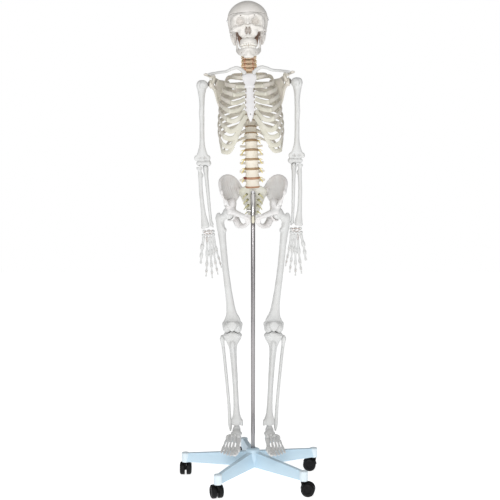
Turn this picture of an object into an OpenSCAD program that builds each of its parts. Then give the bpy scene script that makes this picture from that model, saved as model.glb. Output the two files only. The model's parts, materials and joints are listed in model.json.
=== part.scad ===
// Life-size jointed teaching skeleton on a five-legged rolling stand.
// The origin is on the pole's axis at floor level, the skeleton faces -Y and its left side is +X.

/* [Stand] */
// Distance from the pole to each caster's swivel axis
base_reach = 265; // [240:1:300]
// Turn of the five legs about the pole, in degrees
leg_turn = 7.6; // [0:0.1:12]
// Height of the hub's top face
hub_top = 122; // [116:1:123]
// Outer diameter of the pole
pole_d = 16; // [14:0.5:17]
// Diameter of a caster wheel
wheel_d = 50; // [44:1:50]

/* [Skeleton heights] */
// Top of the skull
skull_top = 1800; // [1795:1:1805]
// Pivot between the skull and the neck
neck_pivot_z = 1648; // [1646:1:1650]
// Centre of the shoulder joints
shoulder_z = 1503; // [1501:1:1505]
// Centre of the hip joints
hip_z = 1016; // [1014:1:1018]
// Axis of the knee joints
knee_z = 586; // [584:1:588]
// Axis of the ankle joints
ankle_z = 193; // [192:1:195]

/* [Skeleton widths] */
// Distance of each shoulder joint from the middle
shoulder_x = 177; // [176:1:179]
// Distance of each hip joint from the middle
hip_x = 90; // [89:1:91]
// Distance of each knee from the middle
knee_x = 78; // [77:1:80]
// Distance of each ankle from the middle
ankle_x = 62; // [61:1:64]

/* [Pose at rest] */
// Sideways lean of the spine, chest and head, in degrees
lean = 1.7; // [0:0.1:2]
// Inward turn of the right forearm, in degrees
right_forearm = 5.4; // [0:0.1:6]
// Inward turn of the left forearm, in degrees
left_forearm = 1.0; // [0:0.1:1.2]
// Outward turn of the feet, in degrees
toe_out = 9; // [0:1:10]

/* [Hidden] */

bone_color = [0.90, 0.89, 0.86];
cartilage_color = [0.80, 0.76, 0.66];
disc_color = [0.62, 0.47, 0.33];
nerve_color = [0.88, 0.76, 0.40];
artery_color = [0.72, 0.20, 0.16];
steel_color = [0.66, 0.68, 0.70];
plastic_color = [0.78, 0.87, 0.93];
caster_color = [0.10, 0.10, 0.11];
gap = 0.6;

// ---- small helpers ----
function unit(v) = v / max(norm(v), 0.000001);
function mix(a, b, t) = a + (b - a) * t;
function clamp01(t) = min(1, max(0, t));
function xyz(s) = [s[0], s[1], s[2]];

// One smooth curve through the knots, at a place t from 0 to the number of spans.
function curve_at(k, t) =
  let (
    last = len(k) - 1,
    i = min(floor(t), last - 1),
    f = t - i,
    p0 = k[max(i - 1, 0)],
    p1 = k[i],
    p2 = k[i + 1],
    p3 = k[min(i + 2, last)]
  )
  0.5 * (2 * p1 + (p2 - p0) * f + (2 * p0 - 5 * p1 + 4 * p2 - p3) * f * f
    + (3 * p1 - 3 * p2 + p3 - p0) * f * f * f);
function smooth_curve(k, n) = [for (i = [0:n]) curve_at(k, i * (len(k) - 1) / n)];

// Joins rings of equal length into one closed solid. Rings run counter-clockwise along the way.
module loft(rings) {
  n = len(rings[0]);
  m = len(rings);
  points = [for (r = rings) each r];
  sides = [
    for (i = [0:m - 2], j = [0:n - 1])
      each [
        [i * n + j, (i + 1) * n + j, (i + 1) * n + (j + 1) % n],
        [i * n + j, (i + 1) * n + (j + 1) % n, i * n + (j + 1) % n]
      ]
  ];
  first = [for (j = [0:n - 1]) j];
  last = [for (j = [n - 1:-1:0]) (m - 1) * n + j];
  polyhedron(points = points, faces = concat([first], sides, [last]));
}

// An elliptical bone shaft through stations [x, y, z, half width, half depth].
// The half width lies across the shaft and square to the vector across.
module shaft(stations, sides = 6, across = [0, 1, 0]) {
  n = len(stations);
  rings = [
    for (i = [0:n - 1])
      let (
        s = stations[i],
        ahead = xyz(stations[min(i + 1, n - 1)]) - xyz(stations[max(i - 1, 0)]),
        t = unit(ahead),
        u = unit(cross(t, across)),
        v = cross(t, u)
      )
      [for (j = [0:sides - 1])
        let (a = (j + 0.5) * 360 / sides) xyz(s) + u * s[3] * cos(a) + v * s[4] * sin(a)]
  ];
  loft(rings);
}

// A low-faceted ellipsoid. It counts as a hull, so a bone made with balls is one clean mesh.
module ball(c, r, n = 8) {
  translate(c) scale(r) hull() sphere(r = 1, $fn = n);
}

module block(low, high) {
  translate(low) cube(high - low);
}

module pair() {
  children();
  mirror([1, 0, 0]) children();
}

// side is 1 for the left and -1 for the right of the body.
module on_side(side) {
  if (side > 0) children();
  else mirror([1, 0, 0]) children();
}

// ---- the lean of the upper body ----
lean_z = 1060;
function leaned(p) = [
  p[0] * cos(lean) - (p[2] - lean_z) * sin(lean),
  p[1],
  lean_z + (p[2] - lean_z) * cos(lean) + p[0] * sin(lean)
];
module upper_body() {
  translate([0, 0, lean_z]) rotate([0, -lean, 0]) translate([0, 0, -lean_z]) children();
}

// ---- stand ----
leg_count = 5;
leg_angles = [for (i = [0:leg_count - 1]) 90 + leg_turn + i * 360 / leg_count];
caster_turns = [342, 282, 226, 36, 149];
caster_trail = 16;
socket_r = 17.5;
socket_low = 54;
stem_r = 5;
wheel_r = wheel_d / 2;
wheel_w = 16;
wheel_gap = 7;
axle_r = 3;
hub_r = 46;
leg_low = 56;
pole_top = 1086;
sleeve_r = 10;
sleeve_low = 1007;
sleeve_high = 1091;
running = 0.3;

module base_star_leg() {
  hull() {
    translate([20, -26, leg_low]) cube([10, 52, 30]);
    translate([20, -9, leg_low]) cube([10, 18, 40]);
    translate([base_reach - 22, -17, leg_low]) cube([14, 34, 20]);
    translate([base_reach - 22, -6, leg_low]) cube([14, 12, 34]);
  }
}

module base_star() {
  bore_r = pole_d / 2 + 0.05;
  stem_bore = stem_r + running;
  color(plastic_color) {
    for (a = leg_angles) rotate(a) base_star_leg();
    // sockets for the casters' stems, open below
    for (a = leg_angles) rotate(a) translate([base_reach, 0, 0]) rotate_extrude() polygon([
      [stem_bore, socket_low], [socket_r, socket_low], [socket_r, 91], [0, 91], [0, 83], [stem_bore, 83]
    ]);
    // hub with the pole's bore, the bolt's hole and a recess for its head
    rotate_extrude() polygon([
      [13, leg_low - 1.5], [hub_r, leg_low - 1.5], [hub_r, 102], [24, hub_top], [bore_r, hub_top],
      [bore_r, 64], [5, 64], [5, 60], [13, 60]
    ]);
  }
}

module pole() {
  color(steel_color) difference() {
    translate([0, 0, 64.2]) cylinder(d = pole_d, h = pole_top - 64.2);
    translate([0, 0, 63]) cylinder(d = pole_d - 3, h = pole_top - 62);
  }
}

module stand_fasteners() {
  color(steel_color) {
    // hub bolt with its washer, from below into the pole's threaded foot
    translate([0, 0, 54]) cylinder(r = 7, h = 3, $fn = 6);
    translate([0, 0, 57]) cylinder(r = 12, h = 2);
    translate([0, 0, 58.9]) cylinder(r = 4, h = 30);
    translate([0, 0, 66]) cylinder(r = 6.4, h = 20);
    // cap nut on the sleeve
    translate([0, 0, sleeve_high]) cylinder(r = 8.5, h = 6, $fn = 6);
    translate([0, 0, sleeve_high + 6]) cylinder(r1 = 7, r2 = 4, h = 4);
  }
}

module pelvis_sleeve() {
  color(steel_color) difference() {
    union() {
      translate([0, 0, sleeve_low]) cylinder(r = sleeve_r, h = sleeve_high - sleeve_low);
      block([-9, 5, 1066], [9, 18.5, 1088]);
      translate([-14, 0, 1024]) rotate([0, 90, 0]) cylinder(r = 5, h = 14);
      translate([-22, 0, 1024]) rotate([0, 90, 0]) cylinder(r = 8, h = 8);
    }
    translate([0, 0, sleeve_low - 1]) cylinder(d = pole_d + 0.4, h = pole_top + 0.4 - sleeve_low + 1);
  }
}

module at_caster(i) {
  rotate(leg_angles[i]) translate([base_reach, 0, 0]) rotate(caster_turns[i]) children();
}

module caster_fork(i) {
  color(caster_color) at_caster(i) {
    // stem with its collar
    translate([0, 0, 50.6]) cylinder(r = stem_r, h = 31);
    translate([0, 0, 50.6]) cylinder(r = 12, h = 2.8);
    // body between the wheels, from the collar down to the axle
    translate([-10, -wheel_gap / 2 + running, 19]) cube([26, wheel_gap - 2 * running, 32]);
    translate([caster_trail, wheel_gap / 2 - running, wheel_r]) rotate([90, 0, 0])
      cylinder(r = 9, h = wheel_gap - 2 * running);
    // axle
    translate([caster_trail, wheel_gap / 2 + wheel_w + 0.5, wheel_r]) rotate([90, 0, 0])
      cylinder(r = axle_r, h = wheel_gap + 2 * wheel_w + 1);
  }
}

module caster_wheels(i) {
  color(caster_color) at_caster(i)
    for (s = [0, 1]) mirror([0, s, 0]) translate([caster_trail, 0, wheel_r]) rotate([-90, 0, 0])
      rotate_extrude() polygon([
        [axle_r + 0.05, wheel_gap / 2], [wheel_r - 2, wheel_gap / 2],
        [wheel_r, wheel_gap / 2 + 2], [wheel_r, wheel_gap / 2 + wheel_w - 4],
        [wheel_r - 4, wheel_gap / 2 + wheel_w], [10, wheel_gap / 2 + wheel_w],
        [8, wheel_gap / 2 + wheel_w - 3], [axle_r + 0.05, wheel_gap / 2 + wheel_w - 3]
      ]);
}

// ---- spine ----
// Middle of the vertebral bodies, front to back, against height.
spine_knots = [
  [1095, 28], [1131, 21], [1164, 14], [1198, 10], [1233, 10], [1269, 14], [1301, 20],
  [1331, 28], [1358, 35], [1401, 43], [1442, 45], [1481, 41], [1518, 33], [1550, 24],
  [1585, 12], [1615, 6], [1650, 4]
];
function spine_y(z) = lookup(z, spine_knots);
function spine_tilt(z) = atan2(spine_y(z + 15) - spine_y(z - 15), 30);

lumbar_z = [for (i = [0:4]) 1269 - i * 34.4];
thoracic_z = [for (i = [0:11]) 1535.5 - i * 16.9 - i * i * 0.39];
cervical_z = [for (i = [0:4]) 1551.5 + i * 14.5];
axis_z = 1624;
atlas_z = 1640;

// One vertebra, its body's middle at the origin: w and d are the body's width and depth, h its height,
// tp the reach of the transverse processes, sp the reach and drop of the spinous process, and canal
// the canal's radius. The transverse processes are one bar behind the canal, or stand at its sides.
module vertebra(w, d, h, tp, sp, canal, behind = true) {
  back = d / 2;
  side = canal + 2;
  foot_x = min(side, w * 0.29);
  tall = h * 0.3;
  deep = back + canal * 2 + 1.5;
  // body
  translate([0, 0, -h / 2]) hull() linear_extrude(h) scale([w / 2, d / 2])
    circle(r = 1, $fn = 8);
  // arch round the canal
  shaft([[foot_x, back - 3, h * 0.12, 2.6, tall], [side, back + canal, h * 0.05, 2.6, tall * 1.1],
    [0, deep, -h * 0.12, 2.4, tall * 1.3], [-side, back + canal, h * 0.05, 2.6, tall * 1.1],
    [-foot_x, back - 3, h * 0.12, 2.6, tall]], 4, [0, 0, 1]);
  // spinous process
  hull() {
    translate([-1.5, deep - 0.5, -h * 0.15 - tall * 0.8]) cube([3, 1, tall * 1.6]);
    translate([-2, back + canal * 2 + sp[0], -sp[1] - tall * 0.8]) cube([4, 3, tall * 1.6]);
  }
  // transverse processes
  if (behind) hull() {
    translate([-3, deep - 1, -tall * 0.6]) cube([6, 2, tall * 1.2]);
    pair() translate([tp - 3, deep - 0.5, -tall * 0.6]) cube([3, 4, tall * 1.2]);
  }
  else pair() hull() {
    translate([side, back + canal * 0.6, -tall * 0.7]) cube([2, 5, tall * 1.4]);
    translate([tp - 2, back + canal * 1.2, -tall * 0.55]) cube([2, 4, tall * 1.1]);
  }
}

module at_spine(z) {
  translate([0, spine_y(z), z]) rotate([-spine_tilt(z), 0, 0]) children();
}

module cervical_vertebrae() {
  color(bone_color) upper_body() {
    for (i = [0:4]) at_spine(cervical_z[i])
      vertebra(25 - i * 1.2, 15.5, 11, i == 0 ? 30 : 24 - i * 0.4, [17 - i * 2, 3], 8.5);
    at_spine(axis_z) {
      vertebra(18, 15, 12, 22, [13, 3], 8.5);
      hull() {
        ball([0, 0, 8], [5, 5, 6], 6);
        ball([0, -1, 16], [4, 4, 4], 6);
      }
    }
    at_spine(atlas_z) {
      pair() {
        shaft([[-1, -9.5, 0, 3.5, 4.5], [12, -6, 0, 4, 5], [18, 3, 0, 6, 5.5], [15, 16, 0, 3.5, 4.5],
          [-1, 24, 0, 3, 4]], 4, [0, 0, 1]);
        hull() {
          ball([20, 3, 0], [5, 5, 4.5], 6);
          ball([31, 5, 0], [3.5, 4, 3.5], 6);
        }
      }
    }
  }
}

module thoracic_vertebrae() {
  color(bone_color) upper_body()
    for (i = [0:11]) at_spine(thoracic_z[i])
      vertebra(26 + i * 1.1, 18 + i * 1.1, 14 + i * 0.75, i < 3 ? 23 : i < 10 ? 25 : 22,
        [i < 9 ? 20 : 16, i < 9 ? 13 : 8], 7.5);
}

module lumbar_vertebrae() {
  color(bone_color) upper_body()
    for (i = [0:4]) at_spine(lumbar_z[i])
      vertebra(42 + i * 1.6, 32, 24.5, i < 4 ? 38 : 34, [18, 3], 10, false);
}

module disc(z, w, d, h) {
  at_spine(z) translate([0, 0, -h / 2]) linear_extrude(h) scale([w / 2, d / 2]) circle(r = 1, $fn = 12);
}

module intervertebral_discs() {
  color(disc_color) upper_body() {
    for (i = [0:3]) disc((cervical_z[i] + cervical_z[i + 1]) / 2, 23 - i, 15, 2);
    disc((cervical_z[4] + axis_z) / 2, 18, 14.5, 1.6);
    disc((cervical_z[0] + thoracic_z[0]) / 2, 24, 16, 2.2);
    for (i = [0:10])
      disc((thoracic_z[i] + thoracic_z[i + 1]) / 2, 25 + i, 17 + i, 1.4);
    disc((thoracic_z[11] + lumbar_z[0]) / 2 + 1, 38, 29, 5.6);
    for (i = [0:2]) disc((lumbar_z[i] + lumbar_z[i + 1]) / 2, 42 + i * 1.5, 31.5, 7.6);
  }
}

module herniated_disc() {
  color(artery_color) upper_body() {
    disc((lumbar_z[3] + lumbar_z[4]) / 2, 46, 32, 7.4);
    disc(lumbar_z[4] - 16.4, 46, 30, 5);
  }
}

sacrum_stations = [
  [0, 27, 1109, 42, 15], [0, 31, 1100, 53, 16], [0, 38, 1084, 51, 15], [0, 49, 1062, 42, 12],
  [0, 56, 1038, 31, 9.5], [0, 57, 1012, 22, 7.5], [0, 53, 994, 12, 6], [0, 46, 976, 7, 4.5],
  [0, 38, 964, 3.5, 3]
];
module sacrum() {
  color(bone_color) difference() {
    union() {
      shaft(sacrum_stations, 10, [0, 1, 0]);
      for (i = [0:3])
        hull() {
          translate([0, 46 + i * 8, 1098 - i * 24]) cube([4, 8, 14], center = true);
          translate([0, 56 + i * 6.5, 1094 - i * 24]) cube([3, 5, 9], center = true);
        }
    }
    for (s = [-1, 1], i = [0:3])
      translate([s * (22 - i * 2.6), 20 + i * 10, 1090 - i * 22]) rotate([-12, 0, 0])
        cylinder(r = 3.4, h = 60, $fn = 6, center = true);
  }
}

module nerve(z, side_x, reach, drop, r) {
  pair() translate([0, spine_y(z), z])
    shaft([[side_x, 14, 0, r, r], [side_x + reach * 0.45, 9, -drop * 0.25, r, r],
      [side_x + reach, 2, -drop, r * 0.8, r * 0.8]], 5, [0, 1, 0.2]);
}

module spinal_nerves() {
  color(nerve_color) upper_body() {
    for (i = [0:4]) nerve(cervical_z[i] - 7.2, 16, 13, 9, 1.7);
    for (i = [0:3]) nerve(lumbar_z[i] - 14.5, 17, 19, 20, 2.6);
    nerve(thoracic_z[11] - 13, 16, 15, 14, 2.2);
    nerve(thoracic_z[10] - 12, 15, 8, 8, 2);
  }
}

module vertebral_arteries() {
  color(artery_color) upper_body() pair()
    shaft([for (z = [1549:20:1629]) [14.5, spine_y(z) - 2.5, z, 1.6, 1.6]], 5, [0, 1, 0]);
}

rod_r = 3.5;
// Distance of the canal's middle behind the vertebral bodies' middle, against height.
canal_knots = [[1116, 24], [1300, 22], [1535, 17], [1622, 16]];
module spine_rod() {
  color(steel_color) upper_body()
    shaft([for (z = [1116:46:1622]) [0, spine_y(z) + lookup(z, canal_knots), z, rod_r, rod_r]],
      6, [0, 1, 0]);
}

// ---- skull, in its own frame: origin at the neck pivot, facing -Y ----
neck_pivot_y = 6;
module at_head() {
  upper_body() translate([0, neck_pivot_y, neck_pivot_z]) children();
}
vault_high = skull_top - neck_pivot_z + 0.3;
vault_mid = 88;
vault_half_w = 75.5;
vault_front = 88;
vault_back = 90;
cut_z = 97;
vault_sides = 18;
function dome(z, low, power) =
  z > vault_mid
    ? pow(1 - pow((z - vault_mid) / (vault_high - vault_mid), 2.3), 1 / 2.3)
    : pow(max(0, 1 - pow((vault_mid - z) / (vault_mid - low), power)), 1 / power);
// One level outline of the brain case, pulled in by the wall thickness.
function vault_ring(z, wall) =
  let (
    a = max(14, vault_half_w * dome(z, wall + 4, 2.2)) - wall,
    f = max(8, vault_front * dome(z, wall + 34, 3)) - wall,
    b = max(14, vault_back * dome(z, wall - 8, 2.4)) - wall
  )
  [for (j = [0:vault_sides - 1])
    let (t = (j + 0.5) * 360 / vault_sides) [a * cos(t), (sin(t) < 0 ? f : b) * sin(t), z]];

module skull_cap() {
  wall = 5.5;
  color(bone_color) at_head() loft(concat(
    [for (z = [vault_high - 6.8, 141, 124, cut_z + gap]) vault_ring(z, wall)],
    [for (z = [cut_z + gap, 124, 143, vault_high - 0.6]) vault_ring(z, 0)]
  ));
}
tooth_arch_w = 25;
tooth_arch_d = 36;
tooth_arch_y = -50;
// One row of teeth, as a band along the arch of the jaw.
module teeth(low, high, shrink) {
  band = [for (t = [-80:26.66:80.1])
    [(tooth_arch_w - shrink) * sin(t), tooth_arch_y - (tooth_arch_d - shrink) * cos(t),
      (low + high) / 2, 4.2, (high - low) * 0.7]];
  shaft(band, 4, [0, 0, 1]);
}

module orbit() {
  hull() {
    ball([29, -80, 70.6], [19, 8, 17], 10);
    ball([20, -48, 68], [6, 8, 6], 6);
  }
}

// The lower skull in one piece: face, brain case below the cap, and underside.
module lower_skull() {
  wall = 5.5;
  difference() {
    union() {
      loft(concat(
        [for (z = [0, 16, 34, 42, 56, cut_z]) vault_ring(z, 0)],
        [for (z = [cut_z, 62, 46, 20]) vault_ring(z, wall)]
      ));
      // brow and nose bridge
      hull() {
        ball([0, -82, 86], [12, 7, 8], 6);
        ball([44, -66, 84], [8, 8, 8], 6);
        ball([-44, -66, 84], [8, 8, 8], 6);
        ball([0, -70, 66], [9, 8, 8], 6);
      }
      hull() {
        ball([0, -84, 80], [6, 6, 6], 6);
        ball([0, -90, 65], [4, 4, 4], 6);
      }
      // outer rims of the eye sockets down to the cheeks
      pair() hull() {
        ball([48, -62, 82], [6, 8, 6], 6);
        ball([50, -60, 50], [7, 8, 8], 6);
      }
      pair() hull() {
        ball([50, -60, 44], [8, 8, 9], 6);
        ball([30, -74, 36], [9, 8, 9], 6);
      }
      // upper jaw
      hull() {
        ball([17, -74, 46], [8, 8, 14], 6);
        ball([-17, -74, 46], [8, 8, 14], 6);
        translate([0, tooth_arch_y - 4, -4]) linear_extrude(8) scale([tooth_arch_w + 3, tooth_arch_d])
          circle(r = 1, $fn = 10);
      }
      // middle of the skull's underside, from the throat to the upper jaw
      hull() {
        block([-20, -52, 4], [20, -42, 50]);
        block([-20, -15, 17], [20, 4, 60]);
      }
      // cheek arches
      pair() shaft([[48, -62, 43, 6, 5], [61, -46, 43, 6, 4], [66, -26, 43, 5, 3.5],
        [66, -8, 42, 4.5, 3.5], [58, 6, 40, 6, 5]], 6, [0, 0, 1]);
      // bone behind the ears and the two knuckles over the neck
      pair() hull() {
        ball([55, 24, 28], [10, 11, 13], 6);
        ball([51, 25, 3], [7, 8, 8], 6);
      }
      pair() ball([17, 4, 6.5], [8, 10, 6], 6);
      teeth(-12.6, -3, 0);
    }
    pair() orbit();
    hull() {
      ball([0, -88, 44], [5, 16, 6], 8);
      ball([0, -88, 27], [11, 16, 9], 8);
    }
    translate([0, 20, -10]) scale([1, 1.15, 1]) linear_extrude(40) circle(r = 14, $fn = 12);
    // roof of the mouth
    translate([0, -48, -14]) linear_extrude(20) circle(r = 16, $fn = 8);
  }
}
// The lower skull is kept in two nodes that meet at this level, so that the
// hollow of the brain case stays open to whatever goes into it.
case_floor_z = 60.7;
module skull_base() {
  color(bone_color) at_head() intersection() {
    lower_skull();
    block([-90, -110, -40], [90, 110, case_floor_z]);
  }
}
module brain_case_wall() {
  color(bone_color) at_head() intersection() {
    lower_skull();
    block([-90, -110, case_floor_z], [90, 110, cut_z + 2]);
  }
}

jaw_pivot = [0, -14, 30];
module mandible() {
  body = smooth_curve([
    [43, -14, -22, 5, 12], [40, -36, -30, 5.5, 13], [30, -62, -37, 6, 14], [14, -78, -41, 6.5, 15],
    [0, -82, -43, 7, 17], [-14, -78, -41, 6.5, 15], [-30, -62, -37, 6, 14], [-40, -36, -30, 5.5, 13],
    [-43, -14, -22, 5, 12]
  ], 12);
  color(bone_color) at_head() {
    shaft(body, 6, [0, 0, 1]);
    pair() {
      hull() {
        ball([43.5, -10, -22], [3.5, 7, 10], 6);
        ball([42.5, -30, -20], [3.5, 7, 8], 6);
        ball([46, -12, 12], [3, 6, 6], 6);
        ball([45, -30, 10], [2.5, 5, 5], 6);
      }
      hull() {
        ball([46, -12, 12], [3, 6, 6], 6);
        ball([49, jaw_pivot[1], jaw_pivot[2] - 1], [8, 4, 4], 6);
      }
      hull() {
        ball([45, -30, 10], [2.5, 5, 5], 6);
        ball([47, -35, 30], [2, 3, 4], 6);
      }
    }
    teeth(-26, -13.4, 1.5);
  }
}

module skull_hardware() {
  color(steel_color) at_head() {
    // jaw hinge screws, one each side on the jaw's axis
    pair() translate([58.2, jaw_pivot[1], jaw_pivot[2]]) rotate([0, 90, 0]) {
      cylinder(r = 1.6, h = 5);
      translate([0, 0, 5]) cylinder(r = 3.4, h = 2);
    }
    // hooks and studs that hold the skull cap down
    pair() translate([vault_half_w + 0.3, 6, 0]) {
      translate([0, -1.5, cut_z - 15]) cube([1.6, 3, 12]);
      translate([0, 0, cut_z - 13]) rotate([0, 90, 0]) cylinder(r = 2.6, h = 3.2);
    }
  }
}

// ---- chest ----
rib_half_w = [56, 79, 94, 104, 111, 116, 119, 121, 121, 117, 108, 84];
rib_back_y = [52, 66, 76, 83, 87, 89, 90, 89, 86, 80, 72, 60];
rib_front = [
  [33, -40, 1515], [52, -64, 1481], [62, -80, 1451], [70, -91, 1421], [78, -98, 1391], [86, -101, 1361],
  [94, -100, 1331], [101, -93, 1302], [106, -82, 1275], [109, -66, 1252], [108, 4, 1246], [83, 46, 1264]
];
rib_tall = [7, 6, 5.5, 5.5, 5.8, 6, 6.2, 6.2, 6, 5.6, 5, 4];
rib_thick = 3.1;
function rib_path(i) =
  let (
    z0 = thoracic_z[i] + 2,
    y0 = spine_y(z0) + 11 + i * 0.4,
    a = rib_half_w[i],
    yb = rib_back_y[i],
    f = rib_front[i],
    short = i > 9,
    drop = z0 - f[2]
  )
  short
    ? [[19.5, y0, z0], [a * 0.38, yb, z0 - drop * 0.14], [a * 0.78, yb - 4, z0 - drop * 0.5], f]
    : [[17.6 + i * 0.25, y0, z0], [a * 0.46, yb, z0 - drop * 0.07],
       [a * 0.86, yb * 0.56, z0 - drop * 0.27], [a, mix(yb, f[1], 0.5), z0 - drop * 0.5],
       [mix(a, f[0], 0.42), mix(yb, f[1], 0.84), z0 - drop * 0.8], f];
rib_steps = 8;
function rib_stations(i, n) =
  let (path = smooth_curve(rib_path(i), n))
  [for (k = [0:n])
    let (p = path[k], e = clamp01(k / n * 6))
      [p[0], p[1], p[2], mix(rib_thick + 0.8, rib_thick, e), mix(4, rib_tall[i], e)]];

module ribs() {
  for (i = [0:11]) shaft(rib_stations(i, i > 9 ? 5 : rib_steps), 6, [0, 0, 1]);
}
module ribs_left() {
  color(bone_color) upper_body() ribs();
}
module ribs_right() {
  color(bone_color) upper_body() mirror([1, 0, 0]) ribs();
}

sternum_stations = [
  [0, -34, 1530, 16, 4.5], [0, -37, 1521, 25, 5.5], [0, -45, 1496, 20, 5.5], [0, -51, 1478, 14, 5],
  [0, -60, 1450, 14, 4.5], [0, -71, 1418, 16.5, 4.5], [0, -81, 1388, 15.5, 4.5], [0, -88, 1368, 9, 3.5],
  [0, -91, 1358, 6, 2.6], [0, -93, 1346, 4, 2.2]
];
module sternum() {
  color(bone_color) upper_body() shaft(sternum_stations, 8, [0, 1, 0]);
}

// Where each cartilage meets the sternum, or for the lower ones the cartilage above.
cartilage_end = [
  [25.5, -39, 1519], [19.5, -50.5, 1480], [18.5, -59, 1457], [20, -67.5, 1434], [21, -75, 1413],
  [20.5, -81, 1394], [15.5, -88, 1375], [58, -100, 1341], [78, -98, 1309], [92, -86, 1281]
];
// Lowest point of each cartilage's bend, as a share between its two ends and a drop below them.
cartilage_sag = [0, 0, 1, 4, 10, 18, 24, 6, 4, 3];
module cartilages() {
  for (i = [0:9]) {
    stations = rib_stations(i, rib_steps);
    f = rib_front[i];
    onward = unit(f - xyz(stations[rib_steps - 1]));
    e = cartilage_end[i];
    bend = mix(f, e, 0.45) + [0, -3 - (i > 3 ? 2 : 0), -cartilage_sag[i]];
    path = smooth_curve([f + onward * 1.8, f + onward * 8, bend, e], i < 3 ? 3 : 5);
    shaft([for (p = path) [p[0], p[1], p[2], 2.8, i < 7 ? 4.6 : 4]], 6, [0, 0, 1]);
  }
}
module costal_cartilage_left() {
  color(cartilage_color) upper_body() cartilages();
}
module costal_cartilage_right() {
  color(cartilage_color) upper_body() mirror([1, 0, 0]) cartilages();
}

// ---- shoulders ----
shoulder = [shoulder_x, 12, shoulder_z];
module clavicle() {
  shaft(smooth_curve([[17, -44, 1534, 8, 8.5], [42, -58, 1536, 6, 6.5], [76, -54, 1540, 5.5, 5.5],
    [112, -22, 1547, 6, 5], [142, 8, 1548, 9, 4.5]], 7), 7, [0, 0, 1]);
}
module clavicle_left() {
  color(bone_color) upper_body() clavicle();
}
module clavicle_right() {
  color(bone_color) upper_body() mirror([1, 0, 0]) clavicle();
}

module scapula() {
  glenoid = [shoulder[0] - 31, shoulder[1] + 6, shoulder[2] - 1];
  superior = [78, 88, 1526];
  root = [70, 98, 1492];
  inferior = [110, 92, 1394];
  neck = [132, 34, 1486];
  thin = [2.4, 2.4, 2.4];
  // blade
  hull() {
    ball(superior, thin, 6);
    ball(root, thin, 6);
    ball(neck, [4, 5, 8], 6);
    ball([122, 36, 1520], thin, 6);
  }
  hull() {
    ball(root, thin, 6);
    ball([80, 101, 1440], thin, 6);
    ball(inferior, [4, 3, 5], 6);
    ball([122, 62, 1440], [4, 4, 4], 6);
    ball(neck, [4, 5, 8], 6);
  }
  // socket for the arm
  hull() {
    ball(neck, [4, 6, 9], 6);
    ball(glenoid, [5, 12, 17], 8);
  }
  // ridge and acromion
  hull() {
    ball(root, thin, 6);
    ball([100, 86, 1506], [2.6, 6, 4], 6);
    ball([124, 44, 1506], thin, 6);
  }
  hull() {
    ball([100, 88, 1508], [4, 4, 3.4], 6);
    ball([140, 64, 1532], [6, 7, 3.4], 6);
    ball([118, 52, 1508], thin, 6);
  }
  hull() {
    ball([140, 64, 1532], [6, 7, 3.4], 6);
    ball([166, 38, 1541], [9, 10, 3.4], 6);
  }
  hull() {
    ball([166, 38, 1541], [9, 10, 3.4], 6);
    ball([166, 14, 1541], [9, 7, 3.4], 6);
  }
  // coracoid
  hull() {
    ball([139, 22, 1510], [7, 7, 7], 6);
    ball([130, -4, 1528], [5, 5, 5], 6);
  }
  hull() {
    ball([130, -4, 1528], [5, 5, 5], 6);
    ball([144, -24, 1520], [5, 5, 4.5], 6);
  }
}
module scapula_left() {
  color(bone_color) upper_body() scapula();
}
module scapula_right() {
  color(bone_color) upper_body() mirror([1, 0, 0]) scapula();
}

// Places a limb that hangs straight down from the leaning shoulder girdle.
module at_shoulder(side) {
  translate(leaned([side * shoulder[0], shoulder[1], shoulder[2]])) on_side(side) children();
}
// A small disc between the socket and the arm's head, on the arm's swinging axis.
module shoulder_swivel() {
  translate([-25, 0, 0]) rotate([0, 90, 0]) cylinder(r = 4, h = 2.3);
}
module shoulder_swivel_left() {
  color(steel_color) at_shoulder(1) shoulder_swivel();
}
module shoulder_swivel_right() {
  color(steel_color) at_shoulder(-1) shoulder_swivel();
}

// ---- arms, each in its own frame: origin at the joint above, hanging down, lateral side +X ----
elbow_drop = 295;
wrist_drop = 245;
module humerus() {
  shaft([[6, 0, -8, 15, 16], [8, 0, -30, 14, 14], [8, 0, -60, 12, 12], [8, 1, -110, 11.5, 11.5],
    [6, 2, -170, 10.5, 11], [4, 1, -225, 11, 9.5], [2, -1, -258, 18, 8.5], [0, -2, -279, 29, 8.5],
    [0, -2, -290, 24, 8]], 8, [0, 1, 0]);
  ball([0, 0, 0], [22, 22, 22], 12);
  ball([12, -2, -3], [12, 16, 17], 8);
  ball([2, -16, -8], [7, 7, 9], 6);
  pair() ball([24, 0, -278], [6, 7, 9], 6);
  // pulley and knob of the elbow
  hull() translate([-21, 0, -elbow_drop]) rotate([0, 90, 0]) cylinder(r = 10.6, h = 22, $fn = 12);
  ball([12, -1, -elbow_drop], [10.5, 10.6, 10.6], 8);
  pair() ball([8, 0, -288], [9, 8, 9], 6);
}
module ulna() {
  shaft([[-10, 21, 13, 7, 6.5], [-10, 21, 0, 9, 7], [-10, 16, -14, 11, 9], [-10, 7, -25, 11, 11],
    [-10, 4, -45, 8, 10], [-10, 3, -100, 7, 8], [-10, 2, -165, 6, 6.5], [-11, 2, -215, 5.5, 6],
    [-12.5, 3, -232, 8, 8], [-12.5, 3, -239, 7, 7]], 7, [0, 1, 0]);
}
module radius() {
  shaft([[13, -1, -15, 11, 11], [13, -1, -22, 11, 11], [12.5, 0, -32, 7, 7], [13, 0, -46, 8.5, 8],
    [15.5, 0, -110, 7.5, 7], [14.5, -2, -180, 9, 7], [12.5, -2, -218, 13, 9],
    [11.5, -2, -237, 15.5, 11], [11.5, -2, -243, 14, 10]], 7, [0, 1, 0]);
}
module at_elbow(side) {
  turn = side > 0 ? left_forearm : right_forearm;
  translate([0, 0, -elbow_drop]) rotate([0, turn, 0]) children();
}

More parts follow.
